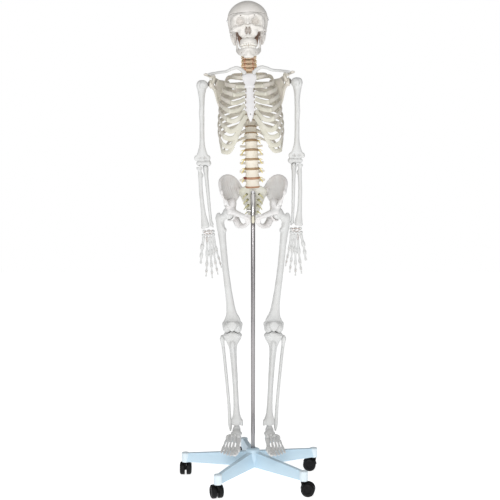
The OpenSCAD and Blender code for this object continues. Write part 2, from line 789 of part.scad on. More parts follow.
// A small long bone from a to b, thick at both ends: r is the shaft's radius, start the thickness at a.
module small_bone(a, b, r, start = 1.3) {
  d = b - a;
  across = abs(d[2]) > abs(d[1]) ? [0, 1, 0] : [0, 0, 1];
  shaft([for (s = [[0, start], [0.5, 0.85], [1, 1.22]])
    let (p = a + d * s[0]) [p[0], p[1], p[2], r * s[1], r * s[1] * 0.9]], 5, across);
}

// Carpal bones: middle and half sizes.
carpals = [
  [[14, 0, -10], [7, 6, 6]], [[0.5, 0, -10], [6, 6.5, 5.6]], [[-12, 1, -12], [6, 6, 5.4]],
  [[-13, -9.5, -14], [4, 3, 4.5]], [[18, -3, -24.5], [6, 6, 6]], [[7, 0, -24.5], [4.6, 6, 6]],
  [[-2.5, 0, -24], [4.6, 6, 7.6]], [[-12.6, 0, -25.5], [5, 6.5, 6.6]]
];
// Rays of the hand: metacarpal base, then the four joint places down to the tip, and the shaft's radius.
rays = [
  [[21, -6, -32], [31, -9, -68], [37, -10, -100], [42, -11, -130], 5],
  [[9, 0, -32.5], [15, -2, -96], [20, -4, -136], [24, -6, -161], [27, -8, -181], 4.4],
  [[-1, 0, -33.5], [2, -2, -97], [3, -4, -141], [4, -6, -169], [4, -8, -190], 4.4],
  [[-9, 0, -33.5], [-10, -2, -91], [-13, -4, -132], [-16, -6, -158], [-18, -8, -178], 4],
  [[-15.5, 0, -33], [-21, -2, -85], [-27, -4, -117], [-31, -6, -136], [-34, -8, -154], 3.7]
];
joint_gap = 1.1;
module hand() {
  for (c = carpals) ball(c[0], c[1] * 0.93, 6);
  for (ray = rays) {
    last = len(ray) - 2;
    for (k = [0:last - 1]) {
      a = ray[k];
      b = ray[k + 1];
      d = unit(b - a);
      r = ray[last + 1] * (1 - 0.14 * k);
      small_bone(a + d * joint_gap, b - d * joint_gap, r, k == 0 ? 0.88 : 1.3);
    }
  }
}
module at_wrist(side) {
  at_elbow(side) translate([0, 0, -wrist_drop]) children();
}

module humerus_left() { color(bone_color) at_shoulder(1) humerus(); }
module humerus_right() { color(bone_color) at_shoulder(-1) humerus(); }
module ulna_left() { color(bone_color) at_shoulder(1) at_elbow(1) ulna(); }
module ulna_right() { color(bone_color) at_shoulder(-1) at_elbow(-1) ulna(); }
module radius_left() { color(bone_color) at_shoulder(1) at_elbow(1) radius(); }
module radius_right() { color(bone_color) at_shoulder(-1) at_elbow(-1) radius(); }
module hand_left() { color(bone_color) at_shoulder(1) at_wrist(1) hand(); }
module hand_right() { color(bone_color) at_shoulder(-1) at_wrist(-1) hand(); }

// ---- pelvis ----
hip = [hip_x, -8, hip_z];
module hip_bone() {
  crest = smooth_curve([[117, -60, 1092], [124, -36, 1130], [112, 0, 1153], [88, 36, 1158],
    [62, 66, 1142], [44, 82, 1112]], 8);
  inner_rim = smooth_curve([[88, -34, 1044], [96, -14, 1050], [92, 8, 1058], [78, 34, 1070],
    [64, 50, 1078], [56, 60, 1084]], 8);
  difference() {
    union() {
      // wing of the ilium, in strips from the rim of the socket up to the crest
      for (k = [0:7]) hull() {
        ball(crest[k], [4, 4, 4], 6);
        ball(crest[k + 1], [4, 4, 4], 6);
        ball(inner_rim[k], [4, 4, 4], 6);
        ball(inner_rim[k + 1], [4, 4, 4], 6);
      }
      // socket
      hull() {
        ball([hip[0] - 2, hip[1], hip[2]], [26, 30, 31], 10);
        ball([88, -4, 1046], [10, 24, 10], 8);
      }
      // sitting bone and the ring round the opening below
      shaft(smooth_curve([[82, 16, 1016, 14, 14], [72, 26, 990, 12, 13], [58, 20, 970, 12, 12],
        [46, 2, 964, 9, 8], [30, -22, 972, 6, 7], [18, -40, 982, 6, 8]], 8), 6, [0, 1, 0]);
      shaft(smooth_curve([[78, -22, 1018, 12, 12], [56, -40, 1016, 8, 8], [32, -52, 1008, 7, 8],
        [15, -52, 998, 8, 10]], 5), 6, [0, 1, 0]);
      hull() {
        ball([14, -50, 998], [7, 7, 8], 6);
        ball([13.5, -48, 986], [6.4, 6, 7], 6);
      }
    }
    ball(hip, [25, 25, 25], 14);
    translate(hip) rotate([0, 90, 0]) cylinder(r1 = 24, r2 = 40, h = 40, $fn = 14);
  }
}
module hip_bone_left() {
  color(bone_color) hip_bone();
}
module hip_bone_right() {
  color(bone_color) mirror([1, 0, 0]) hip_bone();
}
module pubic_disc() {
  color(cartilage_color) block([-5.6, -56, 980], [5.6, -43, 1006]);
}

// ---- legs, each in its own frame: origin at the joint above, hanging down, lateral side +X ----
femur_dx = knee_x - hip_x;
knee_drop = hip_z - knee_z;
ankle_dx = ankle_x - knee_x;
ankle_drop = knee_z - ankle_z;
module femur() {
  shaft([[34, 6, -22, 15, 14], [31, 5, -48, 16, 14], [27, 3, -75, 15, 14.5], [22, -2, -120, 12.5, 13],
    [14, -6, -200, 12.5, 13], [4, -8, -280, 13, 13], [-5, -4, -345, 15, 13], [-9, -1, -380, 20, 14],
    [femur_dx, 0, -403, 31, 14], [femur_dx, -2, -414, 35, 16]], 8, [0, 1, 0]);
  ball([0, 0, 0], [23, 23, 23], 12);
  shaft([[8, 1, -5, 13, 15], [20, 3, -13, 11, 13], [36, 6, -24, 13, 17]], 8, [0, 1, 0]);
  ball([40, 8, -16], [9.5, 12, 17], 8);
  ball([16, 14, -66], [7, 7, 9], 6);
  for (s = [-1, 1]) {
    ball([femur_dx + s * 20, 0, -knee_drop], [17, 24, 24], 10);
    ball([femur_dx + s * 16, -16, -knee_drop + 5], [14, 15, 17], 8);
  }
}
module patella() {
  ball([femur_dx, -42, -knee_drop + 2], [20, 8, 20], 8);
}
module tibia() {
  shaft([[-1, 0, -26, 35, 21], [-1, 1, -38, 34, 22], [-1, 1, -58, 24, 20], [-3, -2, -95, 15, 17],
    [-9, -3, -180, 11, 14], [-14, -1, -280, 10, 11], [ankle_dx, 1, -340, 15, 13],
    [ankle_dx, 1, -362, 20, 16], [ankle_dx, 1, -372.5, 18, 15]], 8, [0, 1, 0]);
  ball([-1, -20, -62], [9, 6, 13], 6);
  hull() {
    ball([ankle_dx - 19, 0, -364], [5, 10, 9], 6);
    ball([ankle_dx - 20, -2, -384], [4, 8, 7], 6);
  }
}
module fibula() {
  shaft([[37, 14, -37, 6, 6], [37, 14, -46, 9, 9], [35, 13, -62, 6, 7], [29, 12, -110, 5.5, 6.5],
    [20, 9, -190, 5.5, 6.5], [11, 7, -290, 5.5, 6], [9, 6, -345, 7, 8], [8.5, 6, -372, 7, 9.5],
    [8, 6, -392, 5, 7], [8, 6, -398, 3, 4]], 6, [0, 1, 0]);
}

// Ankle bones: middle and half sizes.
tarsals = [
  [[-8, -43.5, -17], [13, 5, 11]], [[-15, -58, -24], [6.5, 8.5, 11]], [[-3.8, -56, -19], [4.4, 7.4, 9]],
  [[5.8, -57, -21], [5, 8.4, 9]], [[17, -47, -32], [7.6, 11, 9]]
];
toes = [
  [[-17, -68, -30], [-21, -120, -52], [-20, -149, -54], [-19, -173, -56], 7.4],
  [[-5, -66.5, -22], [-6, -125, -52], [-6, -150, -55], [-6, -161, -57], [-6, -171, -58.5], 4.6],
  [[5, -67.5, -24], [6, -121, -53], [6, -144, -56], [6, -154, -57.5], [6, -163, -58.5], 4.3],
  [[14, -60.5, -29], [18, -114, -54], [18, -135, -56.5], [18, -144, -57.8], [18, -152, -58.5], 4.1],
  [[23, -57, -36], [30, -105, -55], [30, -123, -57], [30, -131, -58], [30, -139, -59], 3.9]
];
module foot() {
  ball([0, 0, 0], [12.6, 19, 19], 8);
  shaft([[-1, -8, -3, 11, 11], [-3, -24, -8, 10, 8.5], [-7, -37, -13, 12, 10]], 6, [0, 0, 1]);
  shaft([[5, 50, -40, 10, 12], [5, 42, -43, 14, 20], [5, 18, -40, 11, 15], [5, -6, -38, 13, 13],
    [12, -26, -38, 10, 10], [15, -35, -37, 9, 9]], 6, [0, 0, 1]);
  for (t = tarsals) ball(t[0], t[1], 6);
  for (toe = toes) {
    last = len(toe) - 2;
    for (k = [0:last - 1]) {
      a = toe[k];
      b = toe[k + 1];
      d = unit(b - a);
      r = toe[last + 1] * (1 - 0.12 * k);
      small_bone(a + d * joint_gap, b - d * joint_gap, r, k == 0 ? 0.95 : 1.3);
    }
  }
}

module at_hip(side) {
  translate([side * hip[0], hip[1], hip[2]]) on_side(side) children();
}
module at_knee(side) {
  at_hip(side) translate([femur_dx, 0, -knee_drop]) children();
}
module at_ankle(side) {
  at_knee(side) translate([ankle_dx, 0, -ankle_drop]) rotate(toe_out) children();
}
module femur_left() { color(bone_color) at_hip(1) femur(); }
module femur_right() { color(bone_color) at_hip(-1) femur(); }
module patella_left() { color(bone_color) at_hip(1) patella(); }
module patella_right() { color(bone_color) at_hip(-1) patella(); }
module tibia_left() { color(bone_color) at_knee(1) tibia(); }
module tibia_right() { color(bone_color) at_knee(-1) tibia(); }
module fibula_left() { color(bone_color) at_knee(1) fibula(); }
module fibula_right() { color(bone_color) at_knee(-1) fibula(); }
module foot_left() { color(bone_color) at_ankle(1) foot(); }
module foot_right() { color(bone_color) at_ankle(-1) foot(); }

// ---- parts drawn ----
base_star();
pole();
stand_fasteners();
pelvis_sleeve();
caster_fork(0);  // caster_fork_1
caster_fork(1);  // caster_fork_2
caster_fork(2);  // caster_fork_3
caster_fork(3);  // caster_fork_4
caster_fork(4);  // caster_fork_5
caster_wheels(0);  // caster_wheels_1
caster_wheels(1);  // caster_wheels_2
caster_wheels(2);  // caster_wheels_3
caster_wheels(3);  // caster_wheels_4
caster_wheels(4);  // caster_wheels_5
skull_base();
brain_case_wall();
skull_cap();
mandible();
skull_hardware();
cervical_vertebrae();
thoracic_vertebrae();
lumbar_vertebrae();
intervertebral_discs();
herniated_disc();
sacrum();
spinal_nerves();
vertebral_arteries();
spine_rod();
sternum();
ribs_left();
ribs_right();
costal_cartilage_left();
costal_cartilage_right();
clavicle_left();
clavicle_right();
scapula_left();
scapula_right();
shoulder_swivel_left();
shoulder_swivel_right();
humerus_left();
humerus_right();
ulna_left();
ulna_right();
radius_left();
radius_right();
hand_left();
hand_right();
hip_bone_left();
hip_bone_right();
pubic_disc();
femur_left();
femur_right();
patella_left();
patella_right();
tibia_left();
tibia_right();
fibula_left();
fibula_right();
foot_left();
foot_right();
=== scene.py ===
"""A life-size jointed teaching skeleton on a five-legged rolling stand.

Bones are sculpted on grids as blended shapes and turned into smooth meshes. All sculpting numbers are
millimetres in the bone's own frame; joints and the stand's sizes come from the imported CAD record.
"""
from math import atan2, cos, exp, hypot, pi, radians, sin
import bpy
import numpy as np
from mathutils import Matrix, Vector
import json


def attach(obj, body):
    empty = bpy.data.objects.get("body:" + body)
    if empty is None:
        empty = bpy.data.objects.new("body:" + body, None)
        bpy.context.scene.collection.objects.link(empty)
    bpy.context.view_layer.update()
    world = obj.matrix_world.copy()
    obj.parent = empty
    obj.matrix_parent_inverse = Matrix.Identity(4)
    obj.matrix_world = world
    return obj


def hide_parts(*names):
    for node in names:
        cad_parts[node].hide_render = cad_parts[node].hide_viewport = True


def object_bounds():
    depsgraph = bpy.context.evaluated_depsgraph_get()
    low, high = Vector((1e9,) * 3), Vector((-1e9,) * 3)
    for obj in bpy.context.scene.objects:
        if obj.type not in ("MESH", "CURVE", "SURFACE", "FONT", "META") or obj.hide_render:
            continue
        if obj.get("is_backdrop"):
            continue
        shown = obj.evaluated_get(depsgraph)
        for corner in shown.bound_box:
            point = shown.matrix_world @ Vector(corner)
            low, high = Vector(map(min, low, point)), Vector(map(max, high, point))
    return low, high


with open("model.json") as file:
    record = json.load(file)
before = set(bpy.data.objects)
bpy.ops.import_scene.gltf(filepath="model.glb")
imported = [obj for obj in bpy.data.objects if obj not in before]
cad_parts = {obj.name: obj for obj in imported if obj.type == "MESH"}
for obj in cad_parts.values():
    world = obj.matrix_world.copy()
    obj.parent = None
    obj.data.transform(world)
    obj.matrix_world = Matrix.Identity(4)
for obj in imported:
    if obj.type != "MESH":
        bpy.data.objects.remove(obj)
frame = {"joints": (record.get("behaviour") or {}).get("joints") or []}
start_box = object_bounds()
MM = 0.001
TRUNK = "stand_and_trunk"
LEFT, RIGHT = "left", "right"
# what a tube or sweep takes as across, where its half widths lie along X
Y = (0, 1, 0)
# two triangles of a plate with four corners
PLATE = [(0, 1, 2), (0, 2, 3)]


# ---------------------------------------------------------------- frames
joints = {j["name"]: j for j in frame["joints"]}
move = Matrix.Translation


def spin(angle, axis):
    return Matrix.Rotation(angle, 4, axis)


def joint_at(name):
    """A joint's place in millimetres."""
    return Vector(joints[name]["pos_m"]) * 1000


UP = Vector(joints["head_turn"]["axis"]).normalized()
LEAN = atan2(-UP.x, UP.z)
LEAN_Z = 1060
UPPER = move((0, 0, LEAN_Z)) @ spin(-LEAN, "Y") @ move((0, 0, -LEAN_Z))
HEAD = move(joint_at("head_turn")) @ spin(-LEAN, "Y")
MIRROR = Matrix.Scale(-1, 4, (1, 0, 0))
UPPER_SIDES = ((LEFT, UPPER), (RIGHT, UPPER @ MIRROR))


def side_frame(side, place=(0, 0, 0), turn=Matrix.Identity(4)):
    """A limb's frame: origin at a joint, mirrored for the right side, turned in its own plane."""
    return move(place) @ (MIRROR if side == RIGHT else Matrix.Identity(4)) @ turn


# ---------------------------------------------------------------- meshes
def new_object(name, points, faces, smooth=True):
    """A mesh object from points in millimetres and a list of faces, or an array of quads."""
    mesh = bpy.data.meshes.new(name)
    if isinstance(faces, np.ndarray):
        mesh.vertices.add(len(points))
        mesh.vertices.foreach_set("co", (np.asarray(points, float) * MM).astype(np.float32).ravel())
        mesh.loops.add(faces.size)
        mesh.loops.foreach_set("vertex_index", faces.astype(np.int32).ravel())
        mesh.polygons.add(len(faces))
        mesh.polygons.foreach_set("loop_start", np.arange(0, faces.size, 4, dtype=np.int32))
        mesh.update(calc_edges=True)
    else:
        mesh.from_pydata([tuple(float(c) * MM for c in p) for p in points], [], faces)
        mesh.update()
    mesh.polygons.foreach_set("use_smooth", [smooth] * len(mesh.polygons))
    obj = bpy.data.objects.new(name, mesh)
    bpy.context.scene.collection.objects.link(obj)
    return obj


def moved(points, matrix):
    m = np.array(matrix)
    return points @ m[:3, :3].T + m[:3, 3]


class Shape:
    """Points and quads, gathered from several parts. Quads with a repeated corner stand for triangles."""

    def __init__(self):
        self.points, self.faces, self.count = [], [], 0

    def add(self, points, faces, matrix=None):
        points = np.asarray(points, float).reshape(-1, 3)
        faces = np.asarray(faces, int)
        if matrix is not None:
            points = moved(points, matrix)
            if np.linalg.det(np.array(matrix)[:3, :3]) < 0:
                faces = flip(faces)
        self.points.append(points)
        self.faces.append(faces + self.count)
        self.count += len(points)
        return self

    def arrays(self):
        return np.concatenate(self.points), np.concatenate(self.faces)

    def at(self, matrix):
        """A copy, moved by a matrix."""
        return Shape().add(*self.arrays(), matrix)


def joined(shapes):
    """Several shapes as one."""
    whole = Shape()
    for shape in shapes:
        whole.add(*shape.arrays())
    return whole


def hollow_shade(mesh, quads, points, painted_shade_spot):
    """Stores how sunken each point lies among its neighbours, from 0.5 for flat to 1 for a crease, which
    sets a painted shade in creases. A painted shade spot, given with its frame, darkens a place of its own."""
    a = quads.ravel()
    b = np.roll(quads, -1, axis=1).ravel()
    n = len(points)
    count = np.maximum(np.bincount(a, minlength=n) + np.bincount(b, minlength=n), 1)
    rounds, strength = 3, 0.6

    def mean(values):
        for _ in range(rounds):
            values = np.stack([(np.bincount(a, v[b], n) + np.bincount(b, v[a], n)) / count
                for v in values.T], 1)
        return values

    normal = np.zeros(n * 3, np.float32)
    mesh.vertex_normals.foreach_get("vector", normal)
    # how far each point sinks below its neighbours, which sets the painted shade in hollows and creases
    depth = mean(((mean(points) - points) * normal.reshape(-1, 3)).sum(1, keepdims=True))
    value = 0.5 + depth[:, 0] * strength
    # painted shade spot: adds painted shade at a place of its own, such as a recess
    if painted_shade_spot:
        home, darken = painted_shade_spot
        value = value + darken(moved(points, home.inverted()))
    attribute = mesh.attributes.new("hollow", "FLOAT", "POINT")
    attribute.data.foreach_set("value", np.clip(value, 0, 1).astype(np.float32))


def make(name, shape, body, material, replaces=(), sharp=None, shade=False, painted_shade_spot=None):
    """Turns a shape into a piece that rides on a CAD body and stands for CAD nodes."""
    points, quads = shape.arrays()
    faces = quads
    if (quads[:, 2] == quads[:, 3]).any():
        faces = [tuple(dict.fromkeys(f)) for f in quads.tolist()]
    obj = new_object(name, points, faces)
    if shade:
        hollow_shade(obj.data, quads, points, painted_shade_spot)
    if sharp is not None:
        obj.data.set_sharp_from_angle(angle=radians(sharp))
    obj.data.materials.append(material)
    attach(obj, body)
    if replaces:
        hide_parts(*replaces)


def make_bone(name, shape, body, material, *replaces, painted_shade_spot=None):
    make(name, shape, body, material, replaces, shade=True, painted_shade_spot=painted_shade_spot)


def catmull(knots, count):
    """A smooth curve through rows of knots, each row a point and any values that go with it."""
    k = np.asarray(knots, float)
    last = len(k) - 1
    t = np.linspace(0, last, count + 1)
    i = np.minimum(t.astype(int), last - 1)
    f = (t - i)[:, None]
    p0, p1, p2, p3 = k[np.maximum(i - 1, 0)], k[i], k[i + 1], k[np.minimum(i + 2, last)]
    return 0.5 * (2 * p1 + (p2 - p0) * f + (2 * p0 - 5 * p1 + 4 * p2 - p3) * f * f
        + (3 * p1 - 3 * p2 + p3 - p0) * f ** 3)


def unit(v):
    v = np.asarray(v, float)
    return v / max(np.linalg.norm(v), 1e-9)


def mix(a, b, t):
    return a + (b - a) * t


def stations_of(rows):
    """Stations [x, y, z, half width, half depth]. A row of four numbers is round."""
    return np.asarray([(*q, q[3]) if len(q) == 4 else tuple(q) for q in rows], float)


def directions(s):
    """The way that a path runs at each of its stations."""
    last = len(s) - 1
    return [unit(s[min(i + 1, last), :3] - s[max(i - 1, 0), :3]) for i in range(len(s))]


def circle(count):
    return np.linspace(0, 2 * pi, count, endpoint=False)


def sweep(stations, sides=12, across=(0, 0, 1), round_ends=0.6):
    """A closed elliptical tube through stations, with domed ends."""
    s = stations_of(stations)
    rings = []
    # how far an end's rings stand past its station, and their share of its size
    dome = [(0, 1), (round_ends * 0.75, 0.7), (round_ends, 0.35)]
    a = circle(sides)[:, None]
    for i, t in enumerate(directions(s)):
        u = unit(np.cross(t, across))
        v = np.cross(t, u)
        steps = [(0, 1)]
        if i == 0:
            steps = [(-ahead, share) for ahead, share in dome[::-1]]
        if i == len(s) - 1:
            steps = dome
        for ahead, share in steps:
            c = s[i, :3] + t * ahead * min(s[i, 3], s[i, 4])
            rings.append(c + share * (u * s[i, 3] * np.cos(a) + v * s[i, 4] * np.sin(a)))
    return rings_to_shape(rings)


def rings_to_shape(rings):
    """Joins rings of equal length into a closed skin with fans at both ends."""
    m, n = len(rings), len(rings[0])
    points = np.concatenate(rings)
    a = np.arange(n)
    b = (a + 1) % n
    faces = [np.stack([a, b, b + n, a + n], 1) + i * n for i in range(m - 1)]
    points = np.concatenate([points, [points[:n].mean(0), points[-n:].mean(0)]])
    low, high = np.full(n, m * n), np.full(n, m * n + 1)
    top = (m - 1) * n
    faces = np.concatenate(faces + [np.stack([b, a, low, low], 1), np.stack([a + top, b + top, high, high],
        1)])
    # the enclosed volume says whether the quads look outward
    p, origin = points[faces], points[0]
    signed = sum((p[:, 0] * np.cross(p[:, i] - origin, p[:, i + 1] - origin)).sum() for i in (1, 2))
    return Shape().add(points, flip(faces) if signed < 0 else faces)


def flip(faces):
    """Reverses quads and keeps a repeated corner at the end."""
    out = faces[:, ::-1].copy()
    tri = faces[:, 2] == faces[:, 3]
    out[tri] = faces[tri][:, [1, 0, 2, 3]]
    return out


def lathe(profile, sides=48, matrix=None):
    """Turns a profile of (radius, height), which starts and ends on the axis, about +Z."""
    a = circle(sides)
    rings = [np.stack([r * np.cos(a), r * np.sin(a), np.full(sides, z)], 1) for r, z in profile]
    return Shape().add(*rings_to_shape(rings).arrays(), matrix)


# ---------------------------------------------------------------- sculpting
def off(grid, place):
    """A grid's coordinates, measured from a place."""
    return [grid[k] - np.float32(place[k]) for k in range(3)]


def dot(p, v):
    return sum(p[k] * np.float32(v[k]) for k in range(3))


class Clay:
    """A block of clay on a grid of cells. The field is a distance in millimetres, negative inside."""
    FAR = 40.0

    def __init__(self, low, high, cell):
        self.cell = cell
        self.low = np.asarray(low, float) - 3 * cell
        self.count = np.ceil((np.asarray(high, float) + 3 * cell - self.low) / cell).astype(int) + 1
        self.field = np.full(self.count, self.FAR, np.float32)
        self.side = 1

    def sides(self):
        """Turns to the left side, then to the right, where the strokes that follow are mirrored."""
        for self.side in (1, -1):
            yield self.side
        self.side = 1

    def here(self, places):
        """Places as an array, mirrored on the right side."""
        places = np.array(places, float)
        places[..., 0] *= self.side
        return places

    def window(self, low, high):
        a = np.clip(np.floor((low - self.low) / self.cell).astype(int), 0, self.count - 1)
        b = np.clip(np.ceil((high - self.low) / self.cell).astype(int) + 1, 1, self.count)
        b = np.maximum(b, a + 1)
        axes = [(self.low[c] + np.arange(a[c], b[c]) * self.cell).astype(np.float32) for c in range(3)]
        grid = np.meshgrid(*axes, indexing="ij", sparse=True)
        return tuple(slice(a[c], b[c]) for c in range(3)), grid

    def put(self, where, d, soft, cut):
        """Joins the distances d to the clay, or cuts them out of it, with an edge rounded by soft."""
        f = -self.field[where] if cut else self.field[where]
        m = np.minimum(f, d)
        if soft > 0:
            h = np.maximum(soft - np.abs(f - d), 0) / soft
            m = m - h * h * (soft * 0.25)
        self.field[where] = -m if cut else m
        return self

    def blend(self, other, soft, cut=False):
        """Joins or cuts the whole of another block of the same size."""
        return self.put(..., other.field, soft, cut)

    def ball(self, c, r, soft=3, cut=False, turn=None):
        """An ellipsoid with its middle at c and half sizes r, turned by a matrix."""
        c, r = self.here(c), np.broadcast_to(np.asarray(r, float), 3)
        reach = (r.max() if turn is not None else r) + soft + self.cell
        where, g = self.window(c - reach, c + reach)
        p = off(g, c)
        if turn is not None:
            p = [dot(p, way) for way in np.array(turn)[:3, :3].T]
        k0 = np.sqrt(sum((p[k] / np.float32(r[k])) ** 2 for k in range(3)))
        k1 = np.sqrt(sum((p[k] / np.float32(r[k] ** 2)) ** 2 for k in range(3))) + 1e-6
        return self.put(where, (k0 * (k0 - 1) / k1).astype(np.float32), soft, cut)

    def tube(self, stations, soft=3, cut=False, across=(0, 0, 1), steps=0):
        """An elliptical tube through stations, smoothed in steps. The half width lies across the tube
        and square to the vector across."""
        s = self.here(stations_of(stations))
        if steps:
            s = catmull(s, steps)
        us = [unit(np.cross(t, across)) for t in directions(s)]
        reach = s[:, 3:].max() + soft + self.cell
        whole, _ = self.window(s[:, :3].min(0) - reach, s[:, :3].max(0) + reach)
        total = np.full(self.field[whole].shape, self.FAR, np.float32)
        for a, b, ua, ub in zip(s, s[1:], us, us[1:]):
            r = max(*a[3:], *b[3:]) + soft + self.cell
            where, g = self.window(np.minimum(a[:3], b[:3]) - r, np.maximum(a[:3], b[:3]) + r)
            ab = b[:3] - a[:3]
            p = off(g, a)
            t = np.clip(dot(p, ab) / np.float32(float(ab @ ab) + 1e-9), 0, 1)
            q = [p[k] - t * np.float32(ab[k]) for k in range(3)]
            u, w = unit(ua + ub), unit(ab)
            ru, rv = mix(a[3], b[3], t), mix(a[4], b[4], t)
            thin = np.minimum(ru, rv)
            du, dv, dw = dot(q, u) / ru, dot(q, np.cross(w, u)) / rv, dot(q, w) / thin
            k0 = np.sqrt(du * du + dv * dv + dw * dw)
            away = np.sqrt(q[0] ** 2 + q[1] ** 2 + q[2] ** 2)
            d = np.where(k0 > 1e-3, away * (1 - 1 / np.maximum(k0, 1e-3)), -thin)
            inner = tuple(slice(o.start - i.start, o.stop - i.start) for o, i in zip(where, whole))
            total[inner] = np.minimum(total[inner], d.astype(np.float32))
        return self.put(whole, total, soft, cut)

    def slab(self, corners, triangles, thick, soft=3, cut=False):
        """A bent plate over triangles. thick is the half thickness at each corner."""
        corners = self.here(corners)
        thick = np.broadcast_to(np.asarray(thick, float), len(corners))
        for tri in triangles:
            a, b, c = (corners[i] for i in tri)
            ta, tb, tc = (float(thick[i]) for i in tri)
            r = max(ta, tb, tc) + soft + self.cell
            where, g = self.window(np.minimum(np.minimum(a, b), c) - r, np.maximum(np.maximum(a, b), c) + r)
            ab, ac = b - a, c - a
            n = np.cross(ab, ac)
            n2 = float(n @ n) + 1e-9
            p = off(g, a)
            # share of each corner at the foot of the point on the plate
            share_c, share_b = dot(p, np.cross(n, ab)) / n2, dot(p, np.cross(ac, n)) / n2
            inside = (share_b >= 0) & (share_c >= 0) & (share_b + share_c <= 1)
            best = np.where(inside, dot(p, n) ** 2 / n2, 1e9)
            half = ta + (tb - ta) * share_b + (tc - ta) * share_c
            for start, way, h0, h1 in ((a, ab, ta, tb), (a, ac, ta, tc), (b, c - b, tb, tc)):
                q = off(g, start)
                t = np.clip(dot(q, way) / np.float32(way @ way), 0, 1)
                d = sum((q[k] - t * np.float32(way[k])) ** 2 for k in range(3))
                near = d < best
                best = np.where(near, d, best)
                half = np.where(near, mix(h0, h1, t), half)
            self.put(where, (np.sqrt(best) - half).astype(np.float32), soft, cut)
        return self

    def drum(self, c, rx, ry, h, waist=0.0, soft=2, cut=False):
        """An upright elliptical drum with rounded rims and hollowed sides."""
        c = np.asarray(c, float)
        r = np.array([rx, ry, h / 2]) + soft + self.cell
        where, g = self.window(c - r, c + r)
        x, y, z = off(g, c)
        pull = 1 - waist * (1 - np.clip(np.abs(z) / (h / 2), 0, 1) ** 2)
        rim = 1.5
        side = (np.sqrt((x / rx) ** 2 + (y / ry) ** 2) - pull) * min(rx, ry) + rim
        top = np.abs(z) - h / 2 + rim
        d = np.sqrt(np.maximum(side, 0) ** 2 + np.maximum(top, 0) ** 2) + np.minimum(np.maximum(side, top),
            0) - rim
        return self.put(where, d.astype(np.float32), soft, cut)

    def trim(self, z, way):
        """Keeps only the clay under a level, or over it where way is -1."""
        level = way * (self.low[2] + np.arange(self.count[2]) * self.cell - z)
        self.field = np.maximum(self.field, level.astype(np.float32))
        return self

    def roughen(self, size, amount, seed):
        """Adds a soft uneven swell of the given size to the surface, as in cast bone."""
        near = np.abs(self.field) < 4
        p = self.low + np.argwhere(near) * self.cell
        r = np.random.default_rng(seed)
        wave = np.zeros(len(p))
        waves = 5
        for _ in range(waves):
            k = r.normal(size=3)
            k *= (2 * pi / size) * r.uniform(0.6, 1.7) / np.linalg.norm(k)
            wave += np.sin(p @ k + r.uniform(0, 6.28))
        self.field[near] += (wave * amount / waves).astype(np.float32)
        return self

    def shape(self, matrix=None):
        """The clay's skin as one smooth mesh of quads."""
        f = self.field
        f[:1], f[-1:], f[:, :1], f[:, -1:], f[:, :, :1], f[:, :, -1:] = 9, 9, 9, 9, 9, 9
        inside = f < 0
        n = inside.astype(np.int8)
        offsets = np.array([[i, j, k] for i in (0, 1) for j in (0, 1) for k in (0, 1)])
        x, y, z = np.array(f.shape) - 1
        corners = sum(n[i:x + i, j:y + j, k:z + k] for i, j, k in offsets)
        mixed = (corners > 0) & (corners < 8)
        cells = np.argwhere(mixed)
        index = np.full(mixed.shape, -1, np.int64)
        index[mixed] = np.arange(len(cells))
        values = np.stack([f[tuple((cells + o).T)] for o in offsets], 1)
        total = np.zeros((len(cells), 3))
        hits = np.zeros(len(cells))
        edges = [(a, b) for a in range(8) for b in range(a + 1, 8) if np.abs(offsets[a]
            - offsets[b]).sum() == 1]
        for a, b in edges:
            va, vb = values[:, a], values[:, b]
            cross = (va < 0) != (vb < 0)
            t = np.where(cross, va / np.where(cross, va - vb, 1), 0)
            total += np.where(cross[:, None], offsets[a] + t[:, None] * (offsets[b] - offsets[a]), 0)
            hits += cross
        points = self.low + (cells + total / hits[:, None]) * self.cell
        faces = []
        for axis in range(3):
            u, v = (axis + 1) % 3, (axis + 2) % 3
            lo = [slice(1, s - 1) for s in f.shape]
            hi = list(lo)
            lo[axis], hi[axis] = slice(0, f.shape[axis] - 1), slice(1, f.shape[axis])
            a, b = inside[tuple(lo)], inside[tuple(hi)]
            base = np.argwhere(a != b)
            out = a[tuple(base.T)]
            ring = []
            for du, dv in ((0, 0), (1, 0), (1, 1), (0, 1)):
                q = base.copy()
                q[:, u] += du
                q[:, v] += dv
                ring.append(index[tuple(q.T)])
            ring = np.stack(ring, 1)
            ring[~out] = ring[~out][:, ::-1]
            faces.append(ring)
        return Shape().add(points, np.concatenate(faces), matrix)


# ---------------------------------------------------------------- materials
def set_inputs(node, **values):
    """Sets a node's inputs, where _ in a name stands for a space."""
    for name, value in values.items():
        node.inputs[name.replace("_", " ")].default_value = value
    return node


